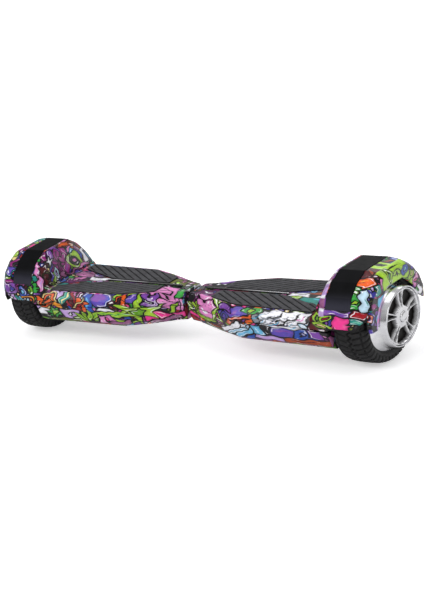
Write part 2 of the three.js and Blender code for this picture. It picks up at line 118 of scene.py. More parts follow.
def put(name, me, nodes, mats, body=None):
    """Adds the mesh as a piece standing for those CAD nodes, on their body."""
    ob = bpy.data.objects.new(name, me)
    bpy.context.scene.collection.objects.link(ob)
    me.materials.clear()
    for m in mats if isinstance(mats, (list, tuple)) else [mats]:
        me.materials.append(m)
    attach(ob, body or BODY[nodes[0]])
    if nodes:
        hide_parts(*nodes)
    return ob


def remesh(me, voxel, smooth=0, factor=0.5):
    """Fuses closed bodies into one even skin and rounds its edges."""
    ob = bpy.data.objects.new("work", me)
    bpy.context.scene.collection.objects.link(ob)
    m = ob.modifiers.new("skin", "REMESH")
    m.mode = "VOXEL"
    m.voxel_size = voxel * MM
    m.use_smooth_shade = True
    if smooth:
        s = ob.modifiers.new("round", "SMOOTH")
        s.iterations = smooth
        s.factor = factor
    out = bpy.data.meshes.new_from_object(ob.evaluated_get(bpy.context.evaluated_depsgraph_get()))
    bpy.data.objects.remove(ob)
    out.shade_smooth()
    return out


def coords(me):
    v = np.zeros(len(me.vertices) * 3)
    me.vertices.foreach_get("co", v)
    return v.reshape(-1, 3) / MM


def normals(me):
    n = np.zeros(len(me.vertices) * 3)
    me.vertex_normals.foreach_get("vector", n)
    return n.reshape(-1, 3)


def set_float(me, name, values):
    a = me.attributes.new(name, "FLOAT", "POINT")
    a.data.foreach_set("value", np.asarray(values, np.float32))


def set_colour(me, name, rgb):
    a = me.attributes.new(name, "FLOAT_COLOR", "POINT")
    full = np.ones((len(rgb), 4), np.float32)
    full[:, :3] = rgb
    a.data.foreach_set("color", full.ravel())


def fillet(points, radius, closed=False, steps=4):
    """Rounds the corners of a polyline. radius may be a number or one per point."""
    pts = [np.array(p, float) for p in points]
    n = len(pts)
    out = []
    for i, p in enumerate(pts):
        r = radius[i] if isinstance(radius, (list, tuple)) else radius
        if (not closed and i in (0, n - 1)) or r <= 0:
            out.append(p)
            continue
        a, b = pts[i - 1], pts[(i + 1) % n]
        u, w = a - p, b - p
        lu, lw = np.linalg.norm(u), np.linalg.norm(w)
        t = min(r, lu * 0.45, lw * 0.45)
        u, w = p + u / lu * t, p + w / lw * t
        for k in range(steps + 1):
            s = k / steps
            out.append((1 - s) ** 2 * u + 2 * s * (1 - s) * p + s * s * w)
    return np.array(out)


def revolve(profile, n, centre=(0.0, 0.0, AXLE_Z), axis="x"):
    """Closed solid from a closed (along, radius) profile. Points on the axis close to a pole."""
    prof = np.asarray(profile, float)
    m = len(prof)
    ang = np.arange(n) / n * 2 * math.pi
    v = np.zeros((n, m, 3))
    for j, (a, r) in enumerate(prof):
        if axis == "x":
            v[:, j] = np.stack([np.full(n, a), r * np.cos(ang), r * np.sin(ang)], 1)
        else:
            v[:, j] = np.stack([r * np.cos(ang), np.full(n, a), r * np.sin(ang)], 1)
    v += np.array(centre)
    faces = []
    for i in range(n):
        k = (i + 1) % n
        for j in range(m):
            l = (j + 1) % m
            if prof[j][1] < 1e-6 and prof[l][1] < 1e-6:
                continue
            q = [i * m + j, i * m + l, k * m + l, k * m + j]
            if prof[j][1] < 1e-6:
                q = [i * m + j, i * m + l, k * m + l]
            elif prof[l][1] < 1e-6:
                q = [i * m + j, i * m + l, k * m + j]
            faces.append(q)
    return v.reshape(-1, 3), faces


def clip(poly, nx, ny, d):
    """The part of a convex polygon where nx*x + ny*y <= d."""
    out = []
    for i, (x, y) in enumerate(poly):
        x2, y2 = poly[(i + 1) % len(poly)]
        a, b = nx * x + ny * y - d, nx * x2 + ny * y2 - d
        if a <= 0:
            out.append((x, y))
        if (a < 0) != (b < 0) and abs(a - b) > 1e-12:
            t = a / (a - b)
            out.append((x + (x2 - x) * t, y + (y2 - y) * t))
    return out


def inset_poly(poly, t):
    """A convex polygon moved in by t."""
    c = np.mean(np.array(poly), 0)
    out = list(poly)
    for i, (x, y) in enumerate(poly):
        x2, y2 = poly[(i + 1) % len(poly)]
        l = math.hypot(x2 - x, y2 - y)
        nx, ny = (y2 - y) / l, -(x2 - x) / l
        if nx * c[0] + ny * c[1] > nx * x + ny * y:
            nx, ny = -nx, -ny
        out = clip(out, nx, ny, nx * x + ny * y - t)
    return out


def prism(poly, z0, z1, store):
    verts, faces = store
    o, n = len(verts), len(poly)
    verts.extend([(x, y, z0) for x, y in poly] + [(x, y, z1) for x, y in poly])
    faces.append([o + i for i in range(n)][::-1])
    faces.append([o + n + i for i in range(n)])
    for i in range(n):
        k = (i + 1) % n
        faces.append([o + i, o + k, o + n + k, o + n + i])


# ------------------------------------------------------------------ materials
def lin(c):
    c = np.asarray(c, float)
    return np.where(c <= 0.04045, c / 12.92, ((c + 0.055) / 1.055) ** 2.4)


class Mat:
    """A small wrapper that makes node trees short to write."""

    def __init__(self, name):
        self.m = bpy.data.materials.new(name)
        self.m.use_nodes = True
        self.t = self.m.node_tree
        self.b = self.t.nodes["Principled BSDF"]
        self.tc = self.t.nodes.new("ShaderNodeTexCoord")

    def node(self, kind, **kw):
        n = self.t.nodes.new("ShaderNode" + kind)
        for k, v in kw.items():
            setattr(n, k, v)
        return n

    def link(self, a, b):
        self.t.links.new(a, b)

    def set(self, **kw):
        for k, v in kw.items():
            k = k.replace("_", " ").title().replace("Ior", "IOR")
            self.b.inputs[k].default_value = (*lin(v), 1) if isinstance(v, tuple) and len(v) == 3 else v
        return self

    def noise(self, scale, detail=3.0, rough=0.6, vector=None, distortion=0.0):
        n = self.node("TexNoise")
        n.inputs["Scale"].default_value = scale
        n.inputs["Detail"].default_value = detail
        n.inputs["Roughness"].default_value = rough
        n.inputs["Distortion"].default_value = distortion
        self.link(vector or self.tc.outputs["Object"], n.inputs["Vector"])
        return n.outputs["Fac"]

    def stretch(self, x, y, z):
        n = self.node("Mapping")
        n.inputs["Scale"].default_value = (x, y, z)
        self.link(self.tc.outputs["Object"], n.inputs["Vector"])
        return n.outputs["Vector"]

    def ramp(self, fac, a, b, lo=0.0, hi=1.0, smooth=False):
        n = self.node("MapRange")
        if smooth:
            n.interpolation_type = "SMOOTHSTEP"
        self.link(fac, n.inputs["Value"])
        for k, v in zip(("From Min", "From Max", "To Min", "To Max"), (a, b, lo, hi)):
            n.inputs[k].default_value = v
        return n.outputs["Result"]

    def math(self, op, a, b=None):
        n = self.node("Math", operation=op)
        for i, v in enumerate((a, b)):
            if v is None:
                continue
            if isinstance(v, (int, float)):
                n.inputs[i].default_value = v
            else:
                self.link(v, n.inputs[i])
        return n.outputs[0]

    def mix(self, fac, a, b, kind="MIX"):
        n = self.node("Mix", data_type="RGBA", blend_type=kind)
        for sock, v in ((n.inputs[0], fac), (n.inputs[6], a), (n.inputs[7], b)):
            if isinstance(v, (int, float)):
                sock.default_value = v
            elif isinstance(v, tuple):
                sock.default_value = (*lin(v), 1)
            else:
                self.link(v, sock)
        return n.outputs[2]

    def attr(self, name):
        n = self.node("Attribute", attribute_name=name)
        return n

    def bump(self, height, strength, distance, under=None):
        n = self.node("Bump")
        n.inputs["Strength"].default_value = strength
        n.inputs["Distance"].default_value = distance
        self.link(height, n.inputs["Height"])
        if under is not None:
            self.link(under, n.inputs["Normal"])
        return n.outputs["Normal"]

    def edge(self, lo=0.53, hi=0.62):
        n = self.node("NewGeometry")
        return self.ramp(n.outputs["Pointiness"], lo, hi)

    def to(self, socket, name):
        self.link(socket, self.b.inputs[name])
        return self


def wear_fac(m, scale=220.0, lo=0.53, hi=0.62, amount=1.0):
    """Where edges are rubbed: convex edges broken up by noise."""
    e = m.edge(lo, hi)
    n = m.ramp(m.noise(scale, 4), 0.42, 0.62)
    return m.math("MULTIPLY", m.math("MULTIPLY", e, n), amount)


def plastic(name, base, dark, rough=(0.32, 0.45), grain=1800.0, bump=0.12, coat=0.0, wear=0.35, worn=(0.35, 0.35, 0.37)):
    m = Mat(name)
    c = m.mix(m.ramp(m.noise(45, 5), 0.35, 0.65), dark, base)
    c = m.mix(wear_fac(m, amount=wear), c, worn)
    m.to(c, "Base Color")
    m.to(m.ramp(m.noise(160, 4), 0.3, 0.7, rough[0], rough[1]), "Roughness")
    m.to(m.bump(m.noise(grain, 2), bump, 0.0002), "Normal")
    m.set(coat_weight=coat, coat_roughness=0.12)
    return m.m


def metal(name, base, dark, rough=(0.25, 0.42), grain=(40, 40, 900), bump=0.1, wear=0.5, metallic=1.0, pits=0.0):
    m = Mat(name)
    streak = m.noise(1.0, 3, vector=m.stretch(*grain))
    c = m.mix(m.ramp(m.math("ADD", m.math("MULTIPLY", streak, 0.5), m.math("MULTIPLY", m.noise(60, 5), 0.5)), 0.35, 0.65), dark, base)
    c = m.mix(wear_fac(m, amount=wear), c, (0.93, 0.93, 0.94))
    m.to(c, "Base Color")
    m.to(m.ramp(m.noise(130, 5), 0.3, 0.7, rough[0], rough[1]), "Roughness")
    n = m.bump(streak, bump, 0.0001)
    if pits:
        n = m.bump(m.noise(700, 3), pits, 0.0004, n)
    m.to(n, "Normal")
    m.set(metallic=metallic)
    return m.m


def make_print():
    """Glossy moulded shell with the printed film, black ink lines and a clear coat."""
    m = Mat("printed_film")
    fill = m.attr("Fill").outputs["Color"]
    line = m.attr("Line").outputs["Fac"]
    bare = m.attr("Bare").outputs["Fac"]
    wob = m.math("MULTIPLY", m.math("SUBTRACT", m.noise(420, 3), 0.5), 0.9)
    ink = m.ramp(m.math("ADD", line, wob), 0.85, 1.15, smooth=True)
    # airbrushed body: a little darker by the ink, lighter inside, with drifting tone
    body = m.mix(m.ramp(line, 1.0, 5.0, 0.34, 0.0), fill, (0.05, 0.0, 0.08))
    body = m.mix(m.ramp(m.noise(70, 3), 0.55, 0.8, 0.0, 0.10), body, (1.0, 1.0, 1.0))
    body = m.mix(m.ramp(m.noise(48, 2), 0.30, 0.46, 0.32, 0.0), body, (0.05, 0.0, 0.08))
    dots = m.node("TexVoronoi")
    dots.inputs["Scale"].default_value = 260
    m.link(m.tc.outputs["Object"], dots.inputs["Vector"])
    spray = m.math("MULTIPLY", m.ramp(dots.outputs["Distance"], 0.10, 0.16, 1.0, 0.0), m.ramp(m.noise(26, 2), 0.56, 0.62))
    body = m.mix(m.math("MULTIPLY", spray, 0.7), body, (0.97, 0.97, 1.0))
    # thin highlight just inside the outlines, here and there, and brushed dark hatching
    edge_in = m.math("MULTIPLY", m.ramp(line, 2.0, 2.25), m.ramp(line, 3.0, 3.25, 1.0, 0.0))
    body = m.mix(m.math("MULTIPLY", m.math("MULTIPLY", edge_in, m.ramp(m.noise(34, 2), 0.54, 0.60)), 0.85), body, (0.99, 0.98, 1.0))
    hatch = m.ramp(m.noise(1.0, 1, vector=m.stretch(150, 150, 700)), 0.62, 0.66)
    hatch = m.math("MULTIPLY", hatch, m.math("MULTIPLY", m.ramp(line, 2.4, 4.0), m.ramp(m.noise(20, 2), 0.50, 0.58)))
    body = m.mix(m.math("MULTIPLY", hatch, 0.75), body, (0.06, 0.02, 0.08))
    c = m.mix(ink, (0.02, 0.015, 0.03), body)
    plain = m.mix(m.ramp(m.noise(50, 4), 0.35, 0.65), (0.07, 0.07, 0.075), (0.11, 0.11, 0.115))
    c = m.mix(bare, c, plain)
    c = m.mix(wear_fac(m, 300, 0.58, 0.72, 0.22), c, (0.8, 0.78, 0.8))
    m.to(c, "Base Color")
    r = m.ramp(m.noise(150, 4), 0.3, 0.7, 0.30, 0.40)
    m.to(m.math("ADD", r, m.math("MULTIPLY", bare, 0.3)), "Roughness")
    m.to(m.math("SUBTRACT", 0.15, m.math("MULTIPLY", bare, 0.15)), "Coat Weight")
    n = m.bump(m.noise(750, 2), 0.05, 0.0003)
    n = m.bump(ink, 0.06, 0.00015, n)
    m.to(n, "Normal")
    m.set(coat_roughness=0.10, specular_ior_level=0.20)
    return m.m


def make_mat_rubber():
    m = Mat("grooved_mat_rubber")
    low = m.attr("GrooveShade").outputs["Fac"]
    c = m.mix(m.ramp(m.noise(60, 5), 0.35, 0.65), (0.20, 0.20, 0.213), (0.275, 0.275, 0.29))
    c = m.mix(wear_fac(m, 500, 0.53, 0.66, 0.45), c, (0.45, 0.45, 0.47))
    # painted shade: the groove floors between the ribs are painted near-black
    c = m.mix(m.math("MULTIPLY", low, 0.85), c, (0.02, 0.02, 0.024))
    m.to(c, "Base Color")
    m.to(m.ramp(m.noise(220, 4), 0.3, 0.7, 0.5, 0.72), "Roughness")
    n = m.bump(m.noise(1500, 3), 0.22, 0.0004)
    m.to(n, "Normal")
    m.set(specular_ior_level=0.30)
    return m.m


def make_tyre_rubber():
    m = Mat("tyre_rubber")
    low = m.attr("GrooveShade").outputs["Fac"]
    c = m.mix(m.ramp(m.noise(40, 6), 0.35, 0.65), (0.085, 0.085, 0.088), (0.135, 0.135, 0.14))
    # painted shade: the tread grooves are painted darker, patchy by noise
    c = m.mix(m.math("MULTIPLY", low, m.ramp(m.noise(35, 4), 0.4, 0.6, 0.25, 0.7)), c, (0.03, 0.03, 0.032))
    c = m.mix(wear_fac(m, 260, 0.52, 0.62, 0.4), c, (0.30, 0.29, 0.285))
    m.to(c, "Base Color")
    m.to(m.ramp(m.noise(180, 4), 0.3, 0.7, 0.55, 0.8), "Roughness")
    n = m.bump(m.noise(1300, 3), 0.3, 0.0005)
    m.to(n, "Normal")
    m.set(specular_ior_level=0.28)
    return m.m


def make_band():
    m = Mat("satin_black_band")
    c = m.mix(m.ramp(m.noise(30, 5), 0.35, 0.65), (0.028, 0.030, 0.036), (0.055, 0.057, 0.068))
    # painted sheen: the lower part of the band is painted lighter, bluish grey, fading out upward and broken up by
    # noise
    sep = m.node("SeparateXYZ")
    m.link(m.tc.outputs["Object"], sep.inputs[0])
    painted_sheen = m.math("MULTIPLY", m.ramp(sep.outputs["Z"], 0.150, 0.184, 0.62, 0.0, smooth=True), m.ramp(m.noise(26, 3), 0.25, 0.75, 0.75, 1.0))
    c = m.mix(painted_sheen, c, (0.27, 0.27, 0.32))
    c = m.mix(wear_fac(m, 300, 0.54, 0.66, 0.5), c, (0.42, 0.42, 0.44))
    m.to(c, "Base Color")
    m.to(m.ramp(m.noise(120, 4), 0.3, 0.7, 0.36, 0.48), "Roughness")
    n = m.bump(m.noise(1.0, 2, vector=m.stretch(2400, 300, 300)), 0.08, 0.0001)
    m.to(n, "Normal")
    m.set(specular_ior_level=0.05, coat_weight=0.0, coat_roughness=0.25)
    return m.m


def make_trim():
    """Black glossy ridge with a bright inlay line towards the wheel end."""
    m = Mat("seam_trim_gloss")
    inlay = m.attr("Inlay").outputs["Fac"]
    c = m.mix(m.ramp(m.noise(60, 4), 0.35, 0.65), (0.06, 0.06, 0.065), (0.10, 0.10, 0.105))
    c = m.mix(inlay, c, (0.88, 0.88, 0.90))
    m.to(c, "Base Color")
    m.to(m.math("MULTIPLY", inlay, 0.9), "Metallic")
    m.to(m.ramp(m.noise(200, 4), 0.3, 0.7, 0.14, 0.26), "Roughness")
    m.to(m.bump(m.noise(900, 2), 0.05, 0.0002), "Normal")
    m.set(coat_weight=0.4, coat_roughness=0.08)
    return m.m


def make_rim(name="polished_rim", pocket=False):
    """Turned and clear-coated aluminium; the pockets of the cover are painted brown-black."""
    m = Mat(name)
    sep = m.node("SeparateXYZ")
    m.link(m.tc.outputs["Object"], sep.inputs[0])
    dz = m.math("SUBTRACT", sep.outputs["Z"], AXLE_Z * MM)
    rad = m.math("SQRT", m.math("ADD", m.math("MULTIPLY", sep.outputs["Y"], sep.outputs["Y"]), m.math("MULTIPLY", dz, dz)))
    comb = m.node("CombineXYZ")
    m.link(m.math("MULTIPLY", rad, 2600), comb.inputs[0])
    m.link(m.math("MULTIPLY", sep.outputs["X"], 1600), comb.inputs[1])
    rings = m.noise(1.0, 2, vector=comb.outputs[0])
    c = m.mix(m.ramp(m.noise(55, 5), 0.35, 0.65), (0.80, 0.80, 0.815), (0.90, 0.90, 0.905))
    rough = m.ramp(m.math("ADD", m.math("MULTIPLY", rings, 0.6), m.math("MULTIPLY", m.noise(150, 4), 0.4)), 0.35, 0.65, 0.17, 0.23)
    if pocket:
        low = m.attr("Pocket").outputs["Fac"]
        paint = m.mix(m.ramp(m.noise(70, 4), 0.35, 0.65), (0.030, 0.024, 0.020), (0.060, 0.048, 0.042))
        c = m.mix(low, c, paint)
        m.to(m.math("SUBTRACT", 1.0, low), "Metallic")
        m.to(m.math("SUBTRACT", 0.5, m.math("MULTIPLY", low, 0.42)), "Specular IOR Level")
        m.to(m.math("SUBTRACT", 0.25, m.math("MULTIPLY", low, 0.25)), "Coat Weight")
        rough = m.math("ADD", rough, m.math("MULTIPLY", low, 0.22))
    else:
        m.set(metallic=1.0)
    c = m.mix(wear_fac(m, 400, 0.56, 0.7, 0.3), c, (0.97, 0.97, 0.97))
    m.to(c, "Base Color")
    m.to(rough, "Roughness")
    n = m.bump(rings, 0.012, 0.00004)
    m.to(n, "Normal")
    m.set(coat_roughness=0.08)
    if not pocket:
        m.set(coat_weight=0.25)
    return m.m


def make_board_mat():
    """Circuit board: green mask with copper traces and pads."""
    m = Mat("circuit_board_mask")
    br = m.node("TexBrick")
    br.inputs["Scale"].default_value = 110
    br.inputs["Mortar Size"].default_value = 0.06
    m.link(m.tc.outputs["Object"], br.inputs["Vector"])
    c = m.mix(m.ramp(m.noise(80, 4), 0.35, 0.65), (0.05, 0.24, 0.12), (0.09, 0.36, 0.18))
    c = m.mix(m.math("MULTIPLY", br.outputs["Fac"], 0.7), c, (0.55, 0.50, 0.20))
    m.to(c, "Base Color")
    m.to(m.ramp(m.noise(300, 3), 0.3, 0.7, 0.3, 0.5), "Roughness")
    m.to(m.bump(br.outputs["Fac"], 0.2, 0.0003), "Normal")
    m.set(coat_weight=0.2)
    return m.m


def make_winding():
    m = Mat("copper_winding")
    w = m.node("TexWave", wave_type="RINGS", rings_direction="X")
    w.inputs["Scale"].default_value = 260
    w.inputs["Distortion"].default_value = 1.2
    m.link(m.tc.outputs["Object"], w.inputs["Vector"])
    c = m.mix(w.outputs["Fac"], (0.35, 0.15, 0.06), (0.80, 0.42, 0.20))
    m.to(c, "Base Color")
    m.to(m.ramp(m.noise(300, 3), 0.3, 0.7, 0.28, 0.48), "Roughness")
    m.to(m.bump(w.outputs["Fac"], 0.5, 0.0006), "Normal")
    m.set(metallic=0.85)
    return m.m


def make_wrap():
    """Heat-shrink sleeve of the battery: blue film, faint cell ridges and wrinkles."""
    m = Mat("battery_wrap_film")
    w = m.node("TexWave", wave_type="BANDS", bands_direction="Y")
    w.inputs["Scale"].default_value = 8.5
    m.link(m.tc.outputs["Object"], w.inputs["Vector"])
    c = m.mix(m.ramp(m.noise(40, 5), 0.35, 0.65), (0.10, 0.25, 0.48), (0.18, 0.40, 0.68))
    m.to(c, "Base Color")
    m.to(m.ramp(m.noise(160, 4), 0.3, 0.7, 0.25, 0.42), "Roughness")
    n = m.bump(w.outputs["Fac"], 0.5, 0.003)
    m.to(m.bump(m.noise(120, 4, distortion=1.0), 0.3, 0.001, n), "Normal")
    return m.m


def make_lens():
    m = Mat("smoked_lens")
    c = m.mix(m.ramp(m.noise(120, 3), 0.4, 0.6), (0.10, 0.10, 0.12), (0.20, 0.20, 0.23))
    m.to(c, "Base Color")
    w = m.node("TexWave", wave_type="BANDS", bands_direction="Y")
    w.inputs["Scale"].default_value = 260
    m.link(m.tc.outputs["Object"], w.inputs["Vector"])
    m.to(m.ramp(m.noise(200, 3), 0.3, 0.7, 0.06, 0.14), "Roughness")
    m.to(m.bump(w.outputs["Fac"], 0.25, 0.0004), "Normal")
    m.set(coat_weight=0.8, coat_roughness=0.04)
    return m.m


MAT = {
    "print": make_print(),
    "band": make_band(),
    "foot": make_mat_rubber(),
    "tyre": make_tyre_rubber(),
    "trim": make_trim(),
    "rim": make_rim(),
    "cover": make_rim("spoked_cover", True),
    "lens": make_lens(),
    "cast": metal("cast_aluminium", (0.60, 0.61, 0.62), (0.45, 0.46, 0.47), (0.45, 0.62), (60, 60, 60), 0.1, 0.6, 0.9, 0.5),
    "steel": metal("turned_steel", (0.62, 0.62, 0.64), (0.46, 0.46, 0.48), (0.24, 0.38), (1400, 60, 60), 0.15, 0.4),
    "bearing": metal("bearing_steel", (0.70, 0.70, 0.72), (0.55, 0.55, 0.57), (0.12, 0.24), (60, 900, 900), 0.08, 0.3),
    "magnet": metal("nickel_magnet", (0.55, 0.54, 0.52), (0.38, 0.37, 0.36), (0.25, 0.45), (40, 40, 40), 0.1, 0.4),
    "bronze": metal("sintered_bronze", (0.66, 0.47, 0.24), (0.48, 0.33, 0.17), (0.38, 0.55), (50, 50, 50), 0.1, 0.5, 1.0, 0.6),
    "winding": make_winding(),
    "board": make_board_mat(),
    "wrap": make_wrap(),
    "black": plastic("black_moulding", (0.12, 0.12, 0.125), (0.07, 0.07, 0.075), (0.28, 0.42), 1600, 0.12, 0.15),
    "cap": plastic("soft_cap_rubber", (0.13, 0.13, 0.132), (0.08, 0.08, 0.082), (0.55, 0.75), 1400, 0.25, 0.0, 0.3),
}

# ------------------------------------------------------------------ flat shapes for the printed pattern (mm)
rng = np.random.default_rng(41)


def s_poly(pts):
    return np.array(pts, float)


def s_heart(s):
    t = np.linspace(0, 2 * math.pi, 44, endpoint=False)
    x = 16 * np.sin(t) ** 3
    y = 13 * np.cos(t) - 5 * np.cos(2 * t) - 2 * np.cos(3 * t) - np.cos(4 * t) + 2.5
    return np.stack([x, y], 1) * s / 32


def s_star(r, n=5, k=0.45, jit=0.0, seed=0):
    g = np.random.default_rng(seed)
    out = []
    for i in range(2 * n):
        a = math.pi * i / n + math.pi / 2
        q = (r if i % 2 == 0 else r * k) * (1 + jit * g.uniform(-1, 1))
        out.append((q * math.cos(a), q * math.sin(a)))
    return s_poly(out)


def s_leaf(l, w, bend=0.0):
    """Pointed leaf along +v, with a sideways bend."""
    t = np.linspace(0, 1, 16)
    half = w / 2 * np.sin(math.pi * t) ** 0.8
    mid = bend * np.sin(math.pi * t)
    v = (t - 0.5) * l
    return np.concatenate([np.stack([mid + half, v], 1), np.stack([mid - half, v], 1)[::-1][1:-1]])


def s_drop(l, w):
    t = np.linspace(0, 2 * math.pi, 32, endpoint=False)
    return np.stack([w / 2 * np.sin(t) * np.sin(t / 2) ** 1.4 * 1.25, l / 2 * np.cos(t)], 1)


def s_round(w, h, p=2.0):
    t = np.linspace(0, 2 * math.pi, 32, endpoint=False)
    c, s = np.cos(t), np.sin(t)
    return np.stack([w / 2 * np.sign(c) * np.abs(c) ** (2 / p), h / 2 * np.sign(s) * np.abs(s) ** (2 / p)], 1)


def s_half(w, h):
    t = np.linspace(0, math.pi, 20)
    return np.concatenate([np.stack([w / 2 * np.cos(t), -h * np.sin(t) + h / 2], 1)])


def s_blob(r, seed, rough=0.25, n=5):
    g = np.random.default_rng(seed)
    t = np.linspace(0, 2 * math.pi, 36, endpoint=False)
    q = np.ones(36)
    for k in range(2, n + 2):
        q += rough / k * 1.6 * np.cos(k * t + g.uniform(0, 6.28))
    return np.stack([r * q * np.cos(t), r * q * np.sin(t)], 1)


def s_splat(r, seed, n=9):
    g = np.random.default_rng(seed)
    out = []
    for i in range(n * 4):
        a = 2 * math.pi * i / (n * 4)
        q = r * (0.55 + 0.45 * (0.5 + 0.5 * math.cos(a * n)) ** 2 * g.uniform(0.6, 1.2))
        out.append((q * math.cos(a), q * math.sin(a)))
    return s_poly(out)


def s_stroke(pts, w0, w1=None, taper=True):
    """Brush stroke outline along a smooth path through pts."""
    p = np.array(pts, float)
    n = 26
    t = np.linspace(0, len(p) - 1, n)
    out = np.zeros((n, 2))
    for i, u in enumerate(t):
        k = min(int(u), len(p) - 2)
        f = u - k
        p0, p1, p2, p3 = p[max(k - 1, 0)], p[k], p[k + 1], p[min(k + 2, len(p) - 1)]
        out[i] = 0.5 * ((2 * p1) + (p2 - p0) * f + (2 * p0 - 5 * p1 + 4 * p2 - p3) * f * f + (3 * p1 - p0 - 3 * p2 + p3) * f ** 3)
    d = np.gradient(out, axis=0)
    d /= np.linalg.norm(d, axis=1)[:, None] + 1e-9
    nrm = np.stack([-d[:, 1], d[:, 0]], 1)
    s = np.linspace(0, 1, n)
    w = (w0 + ((w1 if w1 is not None else w0) - w0) * s) / 2
    if taper:
        w = w * np.sin(math.pi * (0.06 + 0.88 * s)) ** 0.55
    return np.concatenate([out + nrm * w[:, None], (out - nrm * w[:, None])[::-1]])


def s_spiral(r, turns, w, start=0.0):
    a = np.linspace(0, turns * 2 * math.pi, int(7 * turns) + 4)
    q = r * (1 - 0.86 * a / a[-1])
    return s_stroke(np.stack([q * np.cos(a + start), q * np.sin(a + start)], 1), w, w * 0.6)


def s_bolt(l, w):
    return s_poly([(-.2, .5), (.35, .5), (.1, .1), (.5, .12), (-.25, -.5), (-.05, -.06), (-.5, -.04)]) * np.array([w, l])


def s_ring_part(r, w, a0, a1):
    a = np.radians(np.linspace(a0, a1, 9))
    return s_stroke(np.stack([r * np.cos(a), r * np.sin(a)], 1), w)


def grow(shape, t):
    """A shape pushed outward by about t."""
    c = shape.mean(0)
    d = shape - c
    l = np.linalg.norm(d, axis=1)[:, None]
    return c + d * (l + t) / np.maximum(l, 1e-6)


def sd_poly(p, poly):
    d = np.full(len(p), 1e9)
    inside = np.zeros(len(p), bool)
    n = len(poly)
    for i in range(n):
        a, b = poly[i], poly[(i + 1) % n]
        e, w = b - a, p - a
        t = np.clip((w @ e) / max(e @ e, 1e-9), 0, 1)
        d = np.minimum(d, ((w - t[:, None] * e) ** 2).sum(1))
        up = (a[1] > p[:, 1]) != (b[1] > p[:, 1])
        x = (b[0] - a[0]) * (p[:, 1] - a[1]) / ((b[1] - a[1]) if abs(b[1] - a[1]) > 1e-12 else 1e-12) + a[0]
        inside ^= up & (p[:, 0] < x)
    return np.where(inside, -1, 1) * np.sqrt(d)


COL = {
    "pink": (0.90, 0.54, 0.79), "hot": (0.95, 0.22, 0.58), "magenta": (0.60, 0.15, 0.50), "plum": (0.36, 0.08, 0.33),
    "purple": (0.50, 0.27, 0.66), "violet": (0.36, 0.28, 0.70), "indigo": (0.22, 0.22, 0.60), "blue": (0.14, 0.32, 0.72),
    "sky": (0.42, 0.74, 0.90), "ice": (0.78, 0.90, 0.97), "teal": (0.12, 0.56, 0.52), "mint": (0.45, 0.78, 0.66),
    "lime": (0.66, 0.84, 0.20), "leaf": (0.42, 0.68, 0.12), "green": (0.20, 0.66, 0.24), "olive": (0.40, 0.42, 0.14),
    "red": (0.62, 0.06, 0.12), "wine": (0.34, 0.05, 0.08), "orange": (0.94, 0.38, 0.10), "rust": (0.66, 0.28, 0.14),
    "amber": (0.97, 0.62, 0.16), "cream": (0.98, 0.88, 0.60), "white": (0.96, 0.96, 0.99), "lav": (0.78, 0.64, 0.88),
    "mauve": (0.62, 0.38, 0.55), "grey": (0.55, 0.57, 0.60), "ink": (0.045, 0.035, 0.05), "navy": (0.10, 0.14, 0.32), "brown": (0.25, 0.15, 0.08),
}
MIXED = ["pink"] * 5 + ["hot"] * 4 + ["magenta"] * 5 + ["purple"] * 5 + ["violet"] * 3 + ["indigo"] * 3 + ["blue"] * 3 + ["sky"] * 2 + ["white"] * 3 + ["teal"] * 2 + ["lime"] * 6 + ["leaf"] * 3 + ["green"] * 3 + ["orange"] * 3 + ["red"] * 3 + ["wine"] * 3 + ["ink"] * 6 + ["plum"] * 3 + ["cream"] + ["lav"] * 2 + ["rust"]

FACES = {
    "front": ((0, -1, 0), (1, 0, 0), (0, 0, 1)), "rear": ((0, 1, 0), (-1, 0, 0), (0, 0, 1)),
    "plusx": ((1, 0, 0), (0, 1, 0), (0, 0, 1)), "minusx": ((-1, 0, 0), (0, -1, 0), (0, 0, 1)),
    "top": ((0, 0, 1), (1, 0, 0), (0, 1, 0)),
}


def D(face, c, rot, *layers):
    """A decal: face name, centre in mm, turn in degrees, then (shape, colour[, lined]) from back to front."""
    n, u, v = (np.array(q, float) for q in FACES[face])
    return n, u, v, np.array(c, float), math.radians(rot), layers


def DN(c, n, rot, *layers):
    """A decal square to the normal n, its v axis as near to up as it can be."""
    n = np.array(n, float) / np.linalg.norm(n)
    up = np.array([0, 0, 1.0]) if abs(n[2]) < 0.9 else np.array([0, 1.0, 0])
    u = np.cross(up, n)
    u /= np.linalg.norm(u)
    return n, u, np.cross(n, u), np.array(c, float), math.radians(rot), layers


